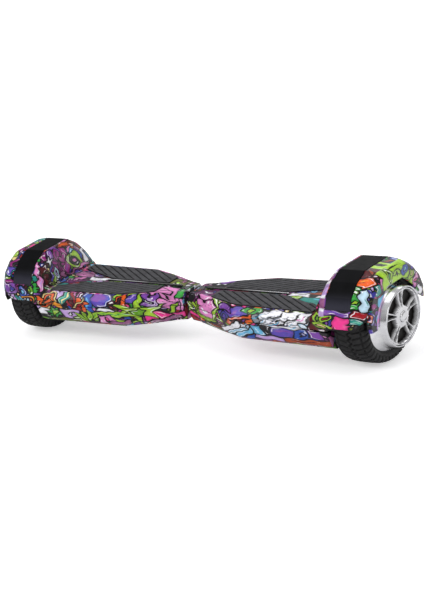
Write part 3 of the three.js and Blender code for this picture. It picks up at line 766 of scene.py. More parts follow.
def random_motif(g):
    """One of the generic shapes, as layers, about 24 mm across before scaling."""
    c1, c2, c3 = (MIXED[g.integers(len(MIXED))] for _ in range(3))
    if c1 == "ink":
        c1 = "magenta"
    k = g.integers(12)
    s = g.uniform(0.8, 1.35)
    if k == 0:
        h = s_heart(24 * s)
        return [(grow(h, 3.6), c2), (h, c1), (s_stroke([(-6 * s, 3 * s), (-4 * s, 6.5 * s), (0, 6 * s)], 2.2), "white", False)]
    if k == 1:
        return [(s_star(15 * s, 5, 0.46, 0.15, g.integers(999)), c1), (s_star(7 * s, 5, 0.5), c2)]
    if k == 2:
        return [(s_leaf(30 * s, 14 * s, 4), c1), (s_stroke([(2, -11 * s), (3.5, 0), (1, 11 * s)], 2.4, 1.2), "ink", False)]
    if k == 3:
        return [(s_leaf(22 * s, 9 * s, 3) + np.array([-7 * s, 0]), c1), (s_leaf(26 * s, 9 * s, 0), c1), (s_leaf(22 * s, 9 * s, -3) + np.array([7 * s, 0]), c1)]
    if k == 4:
        return [(s_drop(28 * s, 14 * s), c1), (s_drop(13 * s, 6 * s) - np.array([0, 3 * s]), c2)]
    if k == 5:
        return [(s_half(30 * s, 17 * s), c1), (s_half(16 * s, 8 * s) + np.array([0, 2 * s]), c2)]
    if k == 6:
        return [(s_round(25 * s, 21 * s), c1), (s_round(13 * s, 11 * s), c2), (s_round(5 * s, 4.5 * s), c3, False)]
    if k == 7:
        return [(s_blob(12 * s, g.integers(999), 0.35), c1), (s_blob(6 * s, g.integers(999), 0.3), c2)]
    if k == 8:
        return [(s_splat(15 * s, g.integers(999)), c1)]
    if k == 9:
        return [(s_stroke([(-16 * s, -6 * s), (-5 * s, 5 * s), (6 * s, -3 * s), (16 * s, 6 * s)], 8 * s, 5 * s), c1), (s_stroke([(-9 * s, 1 * s), (-4 * s, 5 * s), (2 * s, 1.5 * s)], 1.8), "white", False)]
    if k == 10:
        return [(s_bolt(30 * s, 18 * s), c1)]
    return [(s_stroke([(-13 * s, -9 * s), (-12 * s, 9 * s)], 5 * s), c1), (s_stroke([(-4 * s, -9 * s), (-3 * s, 11 * s)], 5 * s), c2), (s_stroke([(5 * s, -9 * s), (6 * s, 9 * s)], 5 * s), c3)]


def fan(l, w, n, spread, colour, tip=None):
    """Leaves fanned upward from one root."""
    out = []
    for i in sorted(range(n), key=lambda i: -abs(i - (n - 1) / 2)):
        a = math.radians((i - (n - 1) / 2) * spread)
        leaf = s_leaf(l, w) + np.array([0, l / 2])
        c, s = math.cos(a), math.sin(a)
        leaf = leaf @ np.array([[c, -s], [s, c]])
        out.append((leaf, colour))
        if tip:
            vein = s_stroke([(0, l * 0.2), (0, l * 0.8)], w * 0.28) @ np.array([[c, -s], [s, c]])
            out.append((vein, tip, False))
    return out


def placed(right):
    """Shapes placed one by one on the faces that are seen most, in mm. Front faces use x and z."""
    if right:
        h = s_heart(54)
        return [
            # waist and front wall of the right half
            D("front", (26, 0, 104), 0, (s_poly([(-22, -26), (34, -30), (52, 28), (-22, 28)]), "lime")),
            D("front", (10, 0, 100), 14, (s_stroke([(0, -20), (2, 0), (-1, 20)], 5, 3), "ink", False)),
            D("front", (24, 0, 90), 50, (s_stroke([(0, -20), (2, 0), (-1, 20)], 5, 3), "ink", False)),
            D("front", (52, 0, 92), 34, (s_stroke([(0, -20), (2, 0), (-1, 18)], 6, 3), "ink", False)),
            D("front", (62, 0, 108), 20, (s_stroke([(0, -16), (2, 0), (-1, 14)], 5, 3), "ink", False)),
            DN((15, -42, 107), (-.6, -.75, .1), 8, (s_leaf(34, 9, 4), "lime")),
            DN((70, -76, 116), (-.4, -.75, .45), -10, (s_leaf(26, 14, 2), "pink")),
            D("front", (22, 0, 84), 66, (s_leaf(46, 11, -3), "lime")),
            D("front", (28, 0, 74), -22, (s_poly([(-26, -5), (30, -5), (34, 5), (-24, 6)]), "hot")),
            D("front", (46, 0, 66), -20, (s_poly([(-26, -4), (28, -6), (30, 5), (-24, 5)]), "orange"), (s_stroke([(-16, 0), (12, 0)], 2.5), "rust", False)),
            D("front", (58, 0, 60), -16, (s_poly([(-26, -5), (28, -7), (24, 3), (-28, 3)]), "olive")),
            D("front", (70, 0, 99), 16, (s_leaf(34, 17, -3), "lime"), (s_leaf(16, 6, -2), "hot")),
            D("front", (96, 0, 117), 0, (s_poly([(-26, -10), (30, -12), (38, 10), (-22, 12)]), "violet"), (s_stroke([(-14, 5), (2, -1), (14, 3)], 5), "purple", False)),
            D("front", (84, 0, 122), 8, (s_poly([(-12, -5), (12, -7), (14, 5), (-10, 6)]), "purple")),
            D("front", (84, 0, 100), 14, (s_leaf(30, 20, 3), "indigo"), (s_leaf(16, 8, 2), "violet")),
            DN((50, -58, 110), (-.45, -.8, .38), 100, (grow(h, 9.0), "lime"), (grow(h, 2.5), "pink"), (s_stroke([(-15, 6), (-12, 14), (-5, 17)], 3.2), "white", False)),
            D("front", (40, 0, 82), 78, (s_leaf(52, 12, -3), "lime"), (s_stroke([(-1, -16), (-2, 0), (0, 14)], 2.4, 1.6, False), "ink", False)),
            D("front", (112, 0, 102), -64, (s_leaf(66, 26, 5), "orange"), (s_leaf(38, 10, 4), "wine"), (s_drop(14, 9) + np.array([6, 8]), "purple")),
            D("front", (132, 0, 100), -38, (s_leaf(34, 12, -3), "orange"), (s_stroke([(0, -10), (1, 10)], 2), "amber", False)),
            D("front", (150, 0, 124), -3, (s_poly([(-34, -6), (28, -7), (34, 5), (-30, 6)]), "green"), (s_blob(4, 3) - np.array([20, 0]), "lime")),
            D("front", (148, 0, 108), 6, (s_blob(13, 11, 0.3), "grey"), (s_blob(6, 12, 0.3), "white")),
            D("front", (160, 0, 105), 0, (s_splat(18, 5, 11), "white"), (s_star(8, 7, 0.5, 0.3, 3), "grey")),
            D("front", (182, 0, 112), 0, (s_poly([(-40, -20), (44, -20), (46, 19), (-34, 16)]), "white")),
            *[D("front", (x, 0, z), r, (s_stroke([(-l * 0.12, -l / 2), (l * 0.1, 0), (-l * 0.06, l / 2)], w, w * 0.55), c, False)) for x, z, r, l, w, c in (
                (168, 101, -61, 17, 2.3, "pink"),
                (218, 103, -62, 10, 2.4, "ink"),
                (148, 108, -55, 12, 2.7, "ink"),
                (190, 108, -64, 24, 1.9, "ink"),
                (165, 101, -49, 21, 2.1, "grey"),
                (189, 102, -50, 10, 2.8, "grey"),
                (145, 103, -64, 14, 2.6, "sky"),
                (171, 104, -71, 12, 2.9, "ink"),
                (189, 111, -42, 13, 3.2, "ink"),
                (184, 101, -74, 14, 3.1, "navy"),
                (143, 115, -56, 22, 2.2, "sky"),
                (170, 110, -76, 21, 1.9, "ink"),
                (221, 110, -61, 20, 2.7, "sky"),
                (164, 107, -62, 19, 1.8, "navy"),
                (171, 113, -68, 13, 2.8, "navy"),
                (174, 121, -58, 10, 2.4, "grey"),
                (164, 101, -74, 20, 3.2, "sky"),
                (216, 123, -51, 11, 2.0, "ink"),
                (197, 97, -54, 13, 2.0, "sky"),
                (192, 106, -66, 11, 3.0, "grey"),
                (196, 117, -85, 23, 2.8, "grey"),
                (174, 108, -50, 11, 2.7, "ink"),
                (156, 124, -64, 18, 1.9, "grey"),
                (153, 100, -56, 14, 1.8, "ink"),
                (193, 101, -58, 14, 2.0, "sky"),
                (225, 110, -45, 16, 1.9, "ink"),
                (204, 117, -79, 17, 2.1, "grey"),
                (171, 116, -55, 23, 2.9, "grey"),
                (224, 120, -62, 15, 2.0, "ink"),
                (186, 118, -68, 14, 2.1, "ink"),
                (209, 119, -59, 17, 2.3, "pink"),
                (225, 118, -68, 16, 2.1, "grey"),
                (222, 109, -20, 23, 2.3, "ink"),
                (149, 110, -74, 14, 2.5, "grey"),
            )],
            *[D("front", (x, 0, z), r, (s_stroke([(-l * 0.12, -l / 2), (l * 0.1, 0), (-l * 0.06, l / 2)], w, w * 0.5), c, False)) for x, z, r, l, w, c in (
                (158, 114, -62, 22, 5.0, "grey"), (172, 119, -50, 24, 4.6, "ink"), (186, 112, -66, 26, 4.2, "ink"), (199, 119, -52, 22, 5.0, "ink"),
                (206, 106, -60, 24, 4.4, "grey"), (216, 114, -48, 22, 4.6, "ink"), (178, 102, -70, 20, 3.8, "ink"), (150, 103, -40, 16, 4.0, "grey"), (224, 104, -62, 16, 3.6, "ink"),
            )],
            D("front", (214, 0, 100), 40, (s_leaf(22, 9, 2), "ice")),
            D("front", (92, 0, 78), -52, (s_poly([(-6, -28), (7, -28), (8, 26), (-6, 28)]), "white")),
            D("front", (104, 0, 73), -52, (s_poly([(-4.5, -26), (5, -26), (6, 25), (-5, 27)]), "ice"), (s_stroke([(0, -20), (0, 20)], 3), "sky", False)),
            D("front", (116, 0, 68), -50, (s_poly([(-6, -24), (6, -24), (6, 24), (-6, 24)]), "sky")),
            D("front", (128, 0, 60), -48, (s_poly([(-5, -20), (6, -20), (6, 22), (-5, 20)]), "blue")),
            D("front", (116, 0, 86), 20, (s_star(10, 4, 0.4), "white")),
            D("front", (138, 0, 80), 0, (s_poly([(-10, -12), (9, -12), (9, 13), (-9, 13)]), "sky"), (s_stroke([(-4, -6), (-4, 6)], 3), "ice", False)),
            D("front", (153, 0, 80), 8, (s_poly([(-8, -12), (8, -12), (9, 12), (-7, 12)]), "ink")),
            D("front", (178, 0, 80), -2, (s_poly([(-20, -13), (24, -13), (26, 12), (-19, 12)]), "violet"), (s_stroke([(-12, 4), (14, 2)], 4), "purple", False)),
            D("front", (206, 0, 80), 0, (s_poly([(-14, -13), (22, -12), (20, 13), (-12, 12)]), "blue"), (s_blob(5, 8), "indigo")),
            D("front", (222, 0, 84), 0, (s_poly([(-8, -12), (14, -12), (14, 14), (-6, 12)]), "purple")),
            D("front", (160, 0, 60), -3, (s_poly([(-30, -6), (30, -6), (30, 6), (-30, 6)]), "lav")),
            D("front", (200, 0, 60), 2, (s_poly([(-28, -8), (46, -8), (46, 7), (-26, 6)]), "rust"), (s_stroke([(-16, -1), (24, 0)], 3), "wine", False)),
            # fender front panels below the strip
            D("front", (232, 0, 118), 0, (s_poly([(-12, -24), (14, -24), (14, 26), (-10, 26)]), "wine")),
            D("front", (235, 0, 126), 10, (s_leaf(30, 17, 2), "lime"), (s_leaf(15, 5, 2), "leaf")),
            D("front", (249, 0, 128), -34, (s_leaf(28, 15, -2), "lime"), (s_leaf(13, 5, -1), "red")),
            D("front", (240, 0, 108), 70, (s_leaf(34, 15, 3), "lime"), (s_leaf(17, 6, 2), "cream")),
            D("front", (271, 0, 118), 0, (s_poly([(-13, -25), (12, -25), (13, 20), (-3, 25), (-13, 14)]), "hot")),
            D("front", (266, 0, 141), -4, (s_poly([(-24, -6), (20, -6), (21, 5), (-24, 7)]), "purple"), (s_stroke([(-14, 0), (10, 1)], 2.5), "violet", False)),
            DN((293, -104, 140), (.26, -.93, .25), 0, (s_poly([(-9, -9), (13, -10), (12, 9), (-9, 8)]), "red")),
            DN((292, -106, 123), (.26, -.97, 0), -14, (s_poly([(-12, -6), (18, -6), (18, 5), (-12, 7)]), "teal"), (s_stroke([(-6, 1), (10, 0)], 2.2), "mint", False)),
            DN((286, -106, 106), (.2, -.97, -.1), 0, (s_poly([(-5, -11), (5, -11), (5, 9), (-4, 10)]), "olive"), (s_stroke([(0, -7), (0, 6)], 2.5), "lime", False)),
            DN((297, -104, 109), (.26, -.95, -.1), 0, (s_blob(11, 21, 0.3), "ink"), (s_blob(5, 5, 0.3), "hot")),
            # outer side of the crown
            DN((290, -42, 209), (.26, -.45, .85), 0, (s_poly([(-12, -17), (16, -16), (17, 15), (-10, 16)]), "wine"), (s_leaf(22, 8, 3), "rust")),
            DN((293, -66, 196), (.26, -.5, .8), 12, (s_round(30, 24, 2.6), "orange"), (s_stroke([(-7, 4), (0, 7), (7, 4)], 2.6), "amber", False)),
            DN((288, -93, 173), (.2, -.7, .6), 0, (s_poly([(-10, -24), (7, -24), (8, 24), (-8, 26)]), "green"), (s_blob(5, 3) + np.array([-2, 12]), "leaf"), (s_blob(4, 9) - np.array([2, 10]), "lime")),
            DN((299, -93, 168), (.35, -.85, .4), 0, (s_poly([(-6, -22), (6, -22), (7, 24), (-6, 22)]), "ice"), (s_stroke([(3, -10), (3, 4)], 2.4), "teal", False)),
            DN((300, -6, 208), (.4, 0, .9), 0, (s_poly([(-40, -18), (44, -18), (44, 16), (-34, 18)]), "lime"), (s_blob(6, 31) + np.array([-10, 2]), "ink"), (s_leaf(24, 7, 2) + np.array([12, 0]), "leaf"), (s_blob(3.5, 32) + np.array([-26, 3]), "ink"), (s_blob(3, 34) + np.array([28, -4]), "ink")),
            D("plusx", (308, -2, 190), 0, (s_poly([(-46, -22), (48, -22), (46, 26), (-44, 24)]), "lime")),
            D("plusx", (308, -22, 192), 8, (s_leaf(36, 16, 3), "lime"), (s_leaf(20, 5, 2), "green")),
            D("plusx", (308, 4, 190), -30, (s_stroke([(-14, -6), (0, 4), (14, 2)], 9), "lime"), (s_blob(3.5, 2), "ink")),
            D("plusx", (308, 34, 188), 20, (s_round(26, 20, 2.3), "blue"), (s_blob(5, 4), "sky")),
            D("plusx", (308, 54, 172), -35, (s_leaf(34, 16, 2), "lime"), (s_leaf(15, 5, 2), "cream")),
            D("plusx", (308, 70, 152), -25, (s_leaf(34, 16, -2), "pink"), (s_blob(4, 14), "hot")),
            D("plusx", (308, 82, 130), -10, (s_blob(11, 19, 0.2), "white")),
            D("plusx", (308, 96, 118), 0, (s_leaf(34, 14, 2), "cream"), (s_stroke([(0, -8), (1, 8)], 2.4), "pink", False)),
            D("plusx", (308, 98, 146), 10, (s_leaf(34, 13, 2), "lime")),
            DN((298, 70, 190), (.4, .5, .75), 0, (s_round(34, 24), "violet"), (s_heart(14), "pink")),
            DN((298, 100, 150), (.3, .9, .3), 0, (s_blob(14, 44), "mauve"), (s_star(7), "cream")),
            # deck wedge behind and between the mats
            D("top", (206, -14, 130), 0, (s_poly([(-26, -20), (14, -34), (16, 4), (-32, 4)]), "teal"), (s_stroke([(-14, -4), (6, -10)], 4), "sky", False)),
            D("top", (202, 14, 130), 0, (s_poly([(-30, -6), (18, -6), (18, 30), (-10, 10)]), "rust"), (s_leaf(20, 8), "wine")),
            D("top", (172, 0, 130), 0, (s_poly([(-20, -8), (14, -10), (10, 9), (-20, 8)]), "white"), (s_stroke([(-10, 0), (6, 1)], 3), "ink", False)),
            # waist arrow field
            D("top", (15, 24, 128), 0, (s_poly([(-12, -9), (12, -12), (16, 16), (-12, 14)]), "mauve"), (s_star(8, 6, 0.4, 0.3, 2), "white")),
            D("top", (16, -24, 128), 0, (s_poly([(-12, -16), (22, -16), (10, 9), (-12, 10)]), "ink"), (s_stroke([(-8, -2), (6, -8)], 4), "lav")),
            D("top", (36, -24, 130), 0, (s_poly([(-20, -20), (14, -26), (14, 16), (-20, 14)]), "plum"), (s_stroke([(-12, 6), (-2, -2), (8, 2)], 3.4), "white", False), (s_stroke([(-8, -8), (6, -14)], 3.6), "lav", False), (s_leaf(14, 6) + np.array([6, 6]), "indigo")),
            D("top", (36, 26, 130), 0, (s_poly([(-16, -16), (14, -16), (14, 22), (-16, 16)]), "ink"), (s_stroke([(-8, -4), (0, 4), (8, 0)], 3.6), "white", False), (s_stroke([(-6, 8), (8, 14)], 3.4), "purple", False)),
            D("top", (40, -46, 130), -34, (s_poly([(-18, -5), (18, -5), (16, 5), (-18, 5)]), "pink")),
            D("top", (44, 46, 130), 40, (s_poly([(-18, -6), (18, -6), (18, 6), (-18, 6)]), "purple")),
            D("top", (84, 78, 130), 32, (s_poly([(-24, -7), (24, -7), (24, 7), (-24, 7)]), "hot")),
            D("top", (130, 96, 130), 4, (s_poly([(-22, -8), (22, -8), (22, 8), (-22, 8)]), "lav")),
        ]
    return [
        # waist and front wall of the left half
        D("front", (-20, 0, 108), 0, (s_poly([(-24, -18), (18, -20), (18, 24), (-26, 22)]), "pink"), (s_stroke([(-26, 14), (-4, 3), (18, -2)], 3.6, 2.6, False), "ink", False)),
        D("front", (-6, 0, 100), 0, (s_leaf(34, 9, 2), "pink")),
        D("front", (-22, 0, 92), -28, (s_leaf(40, 9, 3), "lime")),
        D("front", (-20, 0, 74), 14, (s_poly([(-24, -6), (22, -6), (20, 7), (-24, 5)]), "hot"), (s_stroke([(-12, 0), (10, 1)], 2.6), "pink", False)),
        D("front", (-46, 0, 78), 18, (s_star(26, 3, 0.5), "hot")),
        D("front", (-34, 0, 62), 20, (s_poly([(-26, -5), (24, -5), (24, 5), (-26, 5)]), "mauve")),
        D("front", (-46, 0, 100), 0, (s_round(20, 22, 2.3), "blue"), (s_ring_part(5, 3, 120, 300), "sky")),
        D("front", (-38, 0, 98), 30, (s_stroke([(-12, 12), (-4, 0), (4, -13)], 4.5), "lav")),
        D("front", (-54, 0, 115), 0, (s_poly([(-14, -17), (16, -14), (16, 15), (-14, 16)]), "purple"), (s_stroke([(-10, 6), (8, -6)], 3.6), "white")),
        D("front", (-74, 0, 120), 0, (s_blob(13, 51, 0.25), "violet"), (s_stroke([(-6, 2), (0, 6), (6, 4)], 2.6), "lav", False)),
        D("front", (-94, 0, 116), -26, (s_leaf(42, 18, 4), "orange"), (s_leaf(20, 7, 2), "wine")),
        D("front", (-82, 0, 107), 26, (s_leaf(30, 13, -3), "orange"), (s_leaf(12, 5), "hot")),
        D("front", (-104, 0, 104), 12, (s_leaf(36, 15, 3), "wine"), (s_leaf(18, 5), "red")),
        D("front", (-70, 0, 100), 0, (s_splat(17, 6, 6), "green")),
        D("front", (-68, 0, 86), -6, (s_star(42, 6, 0.36, 0.25, 5), "lime"), (s_star(13, 5, 0.5, 0.2, 8), "leaf")),
        D("front", (-108, 0, 80), 84, (s_leaf(84, 15, 3), "lime"), (s_stroke([(2, -28), (3, 0), (1, 26)], 2.6, 1.8, False), "green", False)),
        D("front", (-98, 0, 66), 74, (s_leaf(60, 9, -2), "lime")),
        D("front", (-118, 0, 92), 84, (s_leaf(36, 9, 2), "white")),
        D("front", (-124, 0, 116), 0, (s_half(40, 34), "violet"), (s_half(22, 15) + np.array([-3, 5]), "purple", False), (s_stroke([(14, 12), (13, -2), (6, -12)], 3), "blue", False)),
        D("front", (-146, 0, 108), 4, (s_poly([(-7, -24), (7, -24), (8, 24), (-7, 24)]), "blue"), (s_stroke([(-1, -16), (0, 14)], 3), "sky", False)),
        D("front", (-161, 0, 102), 0, (s_blob(15, 61, 0.3), "orange"), (s_blob(7, 62, 0.3), "red")),
        D("front", (-176, 0, 110), 18, (s_poly([(-9, -28), (9, -26), (10, 24), (-8, 26)]), "red"), (s_leaf(28, 6, 2), "wine")),
        D("front", (-164, 0, 106), -44, (s_stroke([(0, -20), (1, 0), (0, 18)], 4.6), "cream")),
        D("front", (-190, 0, 118), -28, (s_leaf(44, 16, 2), "teal"), (s_stroke([(3, -14), (4, 14)], 2.2), "cream", False), (s_stroke([(-3, -12), (-2, 12)], 2.2), "mint", False)),
        D("front", (-222, 0, 108), -34, (grow(s_leaf(52, 26, 3), 3), "cream"), (s_leaf(48, 22, 3), "orange"), (s_leaf(27, 12, 2), "cream"), (s_leaf(19, 7, 2), "orange")),
        D("front", (-204, 0, 98), 10, (s_blob(8, 71), "amber")),
        D("front", (-240, 0, 112), 0, (s_blob(9, 72), "orange"), (s_leaf(12, 5), "green")),
        D("front", (-255, 0, 106), 0, (s_ring_part(12, 4.5, -30, 215), "amber"), (s_blob(6, 73), "ice")),
        D("front", (-266, 0, 100), 24, (s_poly([(-5, -16), (5, -16), (5, 16), (-5, 16)]), "sky")),
        D("front", (-274, 0, 104), 24, (s_poly([(-5, -14), (5, -14), (5, 14), (-5, 14)]), "teal")),
        D("front", (-239, 0, 76), 0, (s_blob(12, 74, 0.3), "white")),
        D("front", (-214, 0, 76), 0, (s_splat(19, 75, 8), "green"), (s_blob(7, 76), "lime")),
        D("front", (-184, 0, 74), 0, (s_poly([(-16, -14), (18, -13), (16, 14), (-16, 13)]), "lav"), (s_blob(4, 77), "white")),
        D("front", (-150, 0, 56), 0, *fan(36, 10, 7, 25, "lime", "leaf")),
        D("front", (-122, 0, 66), 8, (s_poly([(-14, -11), (16, -9), (14, 11), (-14, 10)]), "pink"), (s_leaf(14, 6), "hot")),
        D("front", (-100, 0, 56), 10, (s_poly([(-20, -6), (20, -6), (20, 6), (-20, 6)]), "mauve")),
        D("front", (-196, 0, 54), 0, (s_poly([(-26, -7), (26, -7), (26, 6), (-26, 6)]), "olive")),
        # fender front, below the strip
        D("front", (-287, 0, 134), 0, (s_poly([(-18, -14), (10, -14), (10, 13), (-18, 13)]), "purple"), (s_blob(6, 81), "indigo")),
        D("front", (-266, 0, 130), 0, (s_leaf(30, 15, 2), "blue"), (s_leaf(13, 6), "sky")),
        D("front", (-290, 0, 112), 0, (s_poly([(-16, -10), (12, -10), (10, 9), (-16, 9)]), "lav"), (s_star(7, 5), "white")),
        D("front", (-250, 0, 132), 0, (s_leaf(26, 13, 3), "leaf"), (s_leaf(11, 4), "lime")),
        # inner face of the left fender: use y and z
        D("plusx", (-235, -46, 203), -62, (s_leaf(44, 21, 3), "magenta"), (s_stroke([(4, -10), (5, 8)], 2.6), "pink", False)),
        D("plusx", (-235, -18, 201), 66, (s_leaf(40, 17, 4), "purple"), (s_leaf(18, 6), "mauve")),
        D("plusx", (-235, 22, 203), 84, (s_leaf(64, 15, 2), "rust"), (s_stroke([(1, -18), (2, 18)], 3), "orange", False)),
        D("plusx", (-235, -20, 172), 0, *fan(36, 21, 7, 50, "magenta", "plum")),
        D("plusx", (-235, 4, 190), 30, (s_leaf(34, 20, 3), "magenta"), (s_stroke([(2, -9), (3, 8)], 2.6), "pink", False)),
        D("plusx", (-235, -40, 196), -40, (s_leaf(34, 19, -3), "purple"), (s_stroke([(-2, -9), (-3, 8)], 2.6), "lav", False)),
        D("plusx", (-235, -48, 184), 0, (s_star(13, 5, 0.42, 0.2, 4), "white")),
        D("plusx", (-235, -20, 172), 0, (s_blob(7, 92, 0.3), "plum"), (s_blob(3, 93), "rust")),
        D("plusx", (-235, -4, 175), 14, (s_heart(27), "magenta")),
        D("plusx", (-235, 4, 154), -8, (s_leaf(36, 22, -3), "magenta"), (s_stroke([(-3, -8), (-2, 8)], 2.6), "purple", False)),
        D("plusx", (-235, 52, 190), 56, (s_poly([(-5, -22), (5, -22), (5, 22), (-5, 22)]), "rust"), (s_stroke([(0, -14), (0, 14)], 2.2), "cream", False)),
        D("plusx", (-235, 62, 178), 48, (s_poly([(-5, -20), (5, -20), (5, 20), (-5, 20)]), "mauve")),
        D("plusx", (-235, 33, 158), 60, (s_leaf(62, 40, 4), "lime"), (s_leaf(40, 20, 3), "ink"), (s_leaf(17, 9, 2), "pink"), (s_blob(4, 94) + np.array([9, 16]), "leaf")),
        D("plusx", (-235, 74, 160), 12, (s_poly([(-8, -18), (8, -18), (9, 18), (-8, 18)]), "white")),
        D("plusx", (-235, 86, 156), 14, (s_poly([(-6, -18), (5, -18), (6, 17), (-6, 16)]), "navy"), (s_stroke([(0, -9), (0, 9)], 2.4), "sky", False)),
        D("plusx", (-235, 94, 142), 0, (s_leaf(26, 10, 2), "teal")),
        D("plusx", (-238, -86, 182), -28, (s_leaf(46, 15, 3), "pink"), (s_stroke([(4, -12), (4, 10)], 2.4), "white", False)),
        D("plusx", (-238, -96, 150), -20, (s_leaf(44, 14, 3), "pink"), (s_stroke([(3, -10), (4, 10)], 2.6), "lav", False)),
        D("plusx", (-235, -72, 158), 0, (s_poly([(-12, -32), (12, -30), (11, 26), (-12, 24)]), "wine"), (s_ring_part(9, 3.4, -70, 200), "olive"), (s_stroke([(-4, -20), (3, -12), (-2, -4)], 3), "cream")),
        D("plusx", (-235, -54, 158), -16, (s_stroke([(-4, -26), (2, -8), (-2, 8), (6, 26)], 9, 5), "violet")),
        D("plusx", (-235, -38, 156), 10, (s_drop(34, 17), "ice"), (s_drop(15, 7) - np.array([0, 3]), "lav")),
        D("plusx", (-235, -24, 160), -10, (s_stroke([(-3, -26), (3, -6), (-2, 22)], 8, 4), "magenta")),
        D("plusx", (-235, -18, 142), 60, (s_leaf(26, 11, 3), "mauve")),
        D("plusx", (-235, 18, 138), 88, (s_stroke([(-5, -30), (3, -8), (-3, 10), (4, 30)], 8, 5), "mauve")),
        D("plusx", (-235, 60, 139), 88, (s_leaf(50, 9, 2), "pink")),
        D("plusx", (-235, -60, 134), 70, (s_leaf(34, 12, 2), "olive"), (s_leaf(16, 4), "lime")),
        D("plusx", (-235, -84, 128), 30, (s_leaf(30, 12, 2), "green"), (s_leaf(13, 4), "lime")),
        # deck between mats and fender
        D("top", (-206, 14, 130), 0, (s_poly([(-16, -6), (26, -6), (8, 14), (-18, 30)]), "mauve"), (s_stroke([(-8, 2), (8, 3)], 4), "pink", False)),
        D("top", (-206, -14, 130), 0, (s_poly([(-16, -30), (8, -14), (30, 5), (-16, 5)]), "plum"), (s_leaf(18, 8), "magenta")),
        D("top", (-172, 0, 130), 0, (s_poly([(-14, -9), (20, -8), (20, 8), (-14, 9)]), "white"), (s_stroke([(-6, 0), (8, 1)], 3), "ink", False)),
        D("top", (-15, 22, 128), 0, (s_poly([(-20, -12), (12, -9), (12, 16), (-20, 14)]), "olive"), (s_star(8, 5, 0.45), "pink")),
        D("top", (-17, -24, 128), 0, (s_poly([(-22, -14), (12, -16), (12, 8), (-10, 9)]), "green"), (s_blob(5, 3), "lav")),
        D("top", (-36, -24, 130), 0, (s_poly([(-14, -26), (20, -20), (20, 14), (-14, 10)]), "pink"), (s_stroke([(-12, 8), (0, -2), (14, -8)], 3, 2, False), "ink", False)),
        D("top", (-36, 12, 130), 0, (s_poly([(-14, -10), (18, -8), (16, 24), (-14, 24)]), "olive"), (s_leaf(22, 8, 2), "lime"), (s_blob(4, 6) + np.array([8, 14]), "pink")),
        D("top", (-40, -44, 130), 34, (s_poly([(-18, -5), (18, -5), (18, 5), (-18, 5)]), "pink")),
        D("top", (-44, 46, 130), -38, (s_poly([(-18, -6), (18, -6), (18, 6), (-18, 6)]), "mauve")),
        D("top", (-84, 78, 130), -32, (s_poly([(-24, -7), (24, -7), (24, 7), (-24, 7)]), "pink")),
    ]


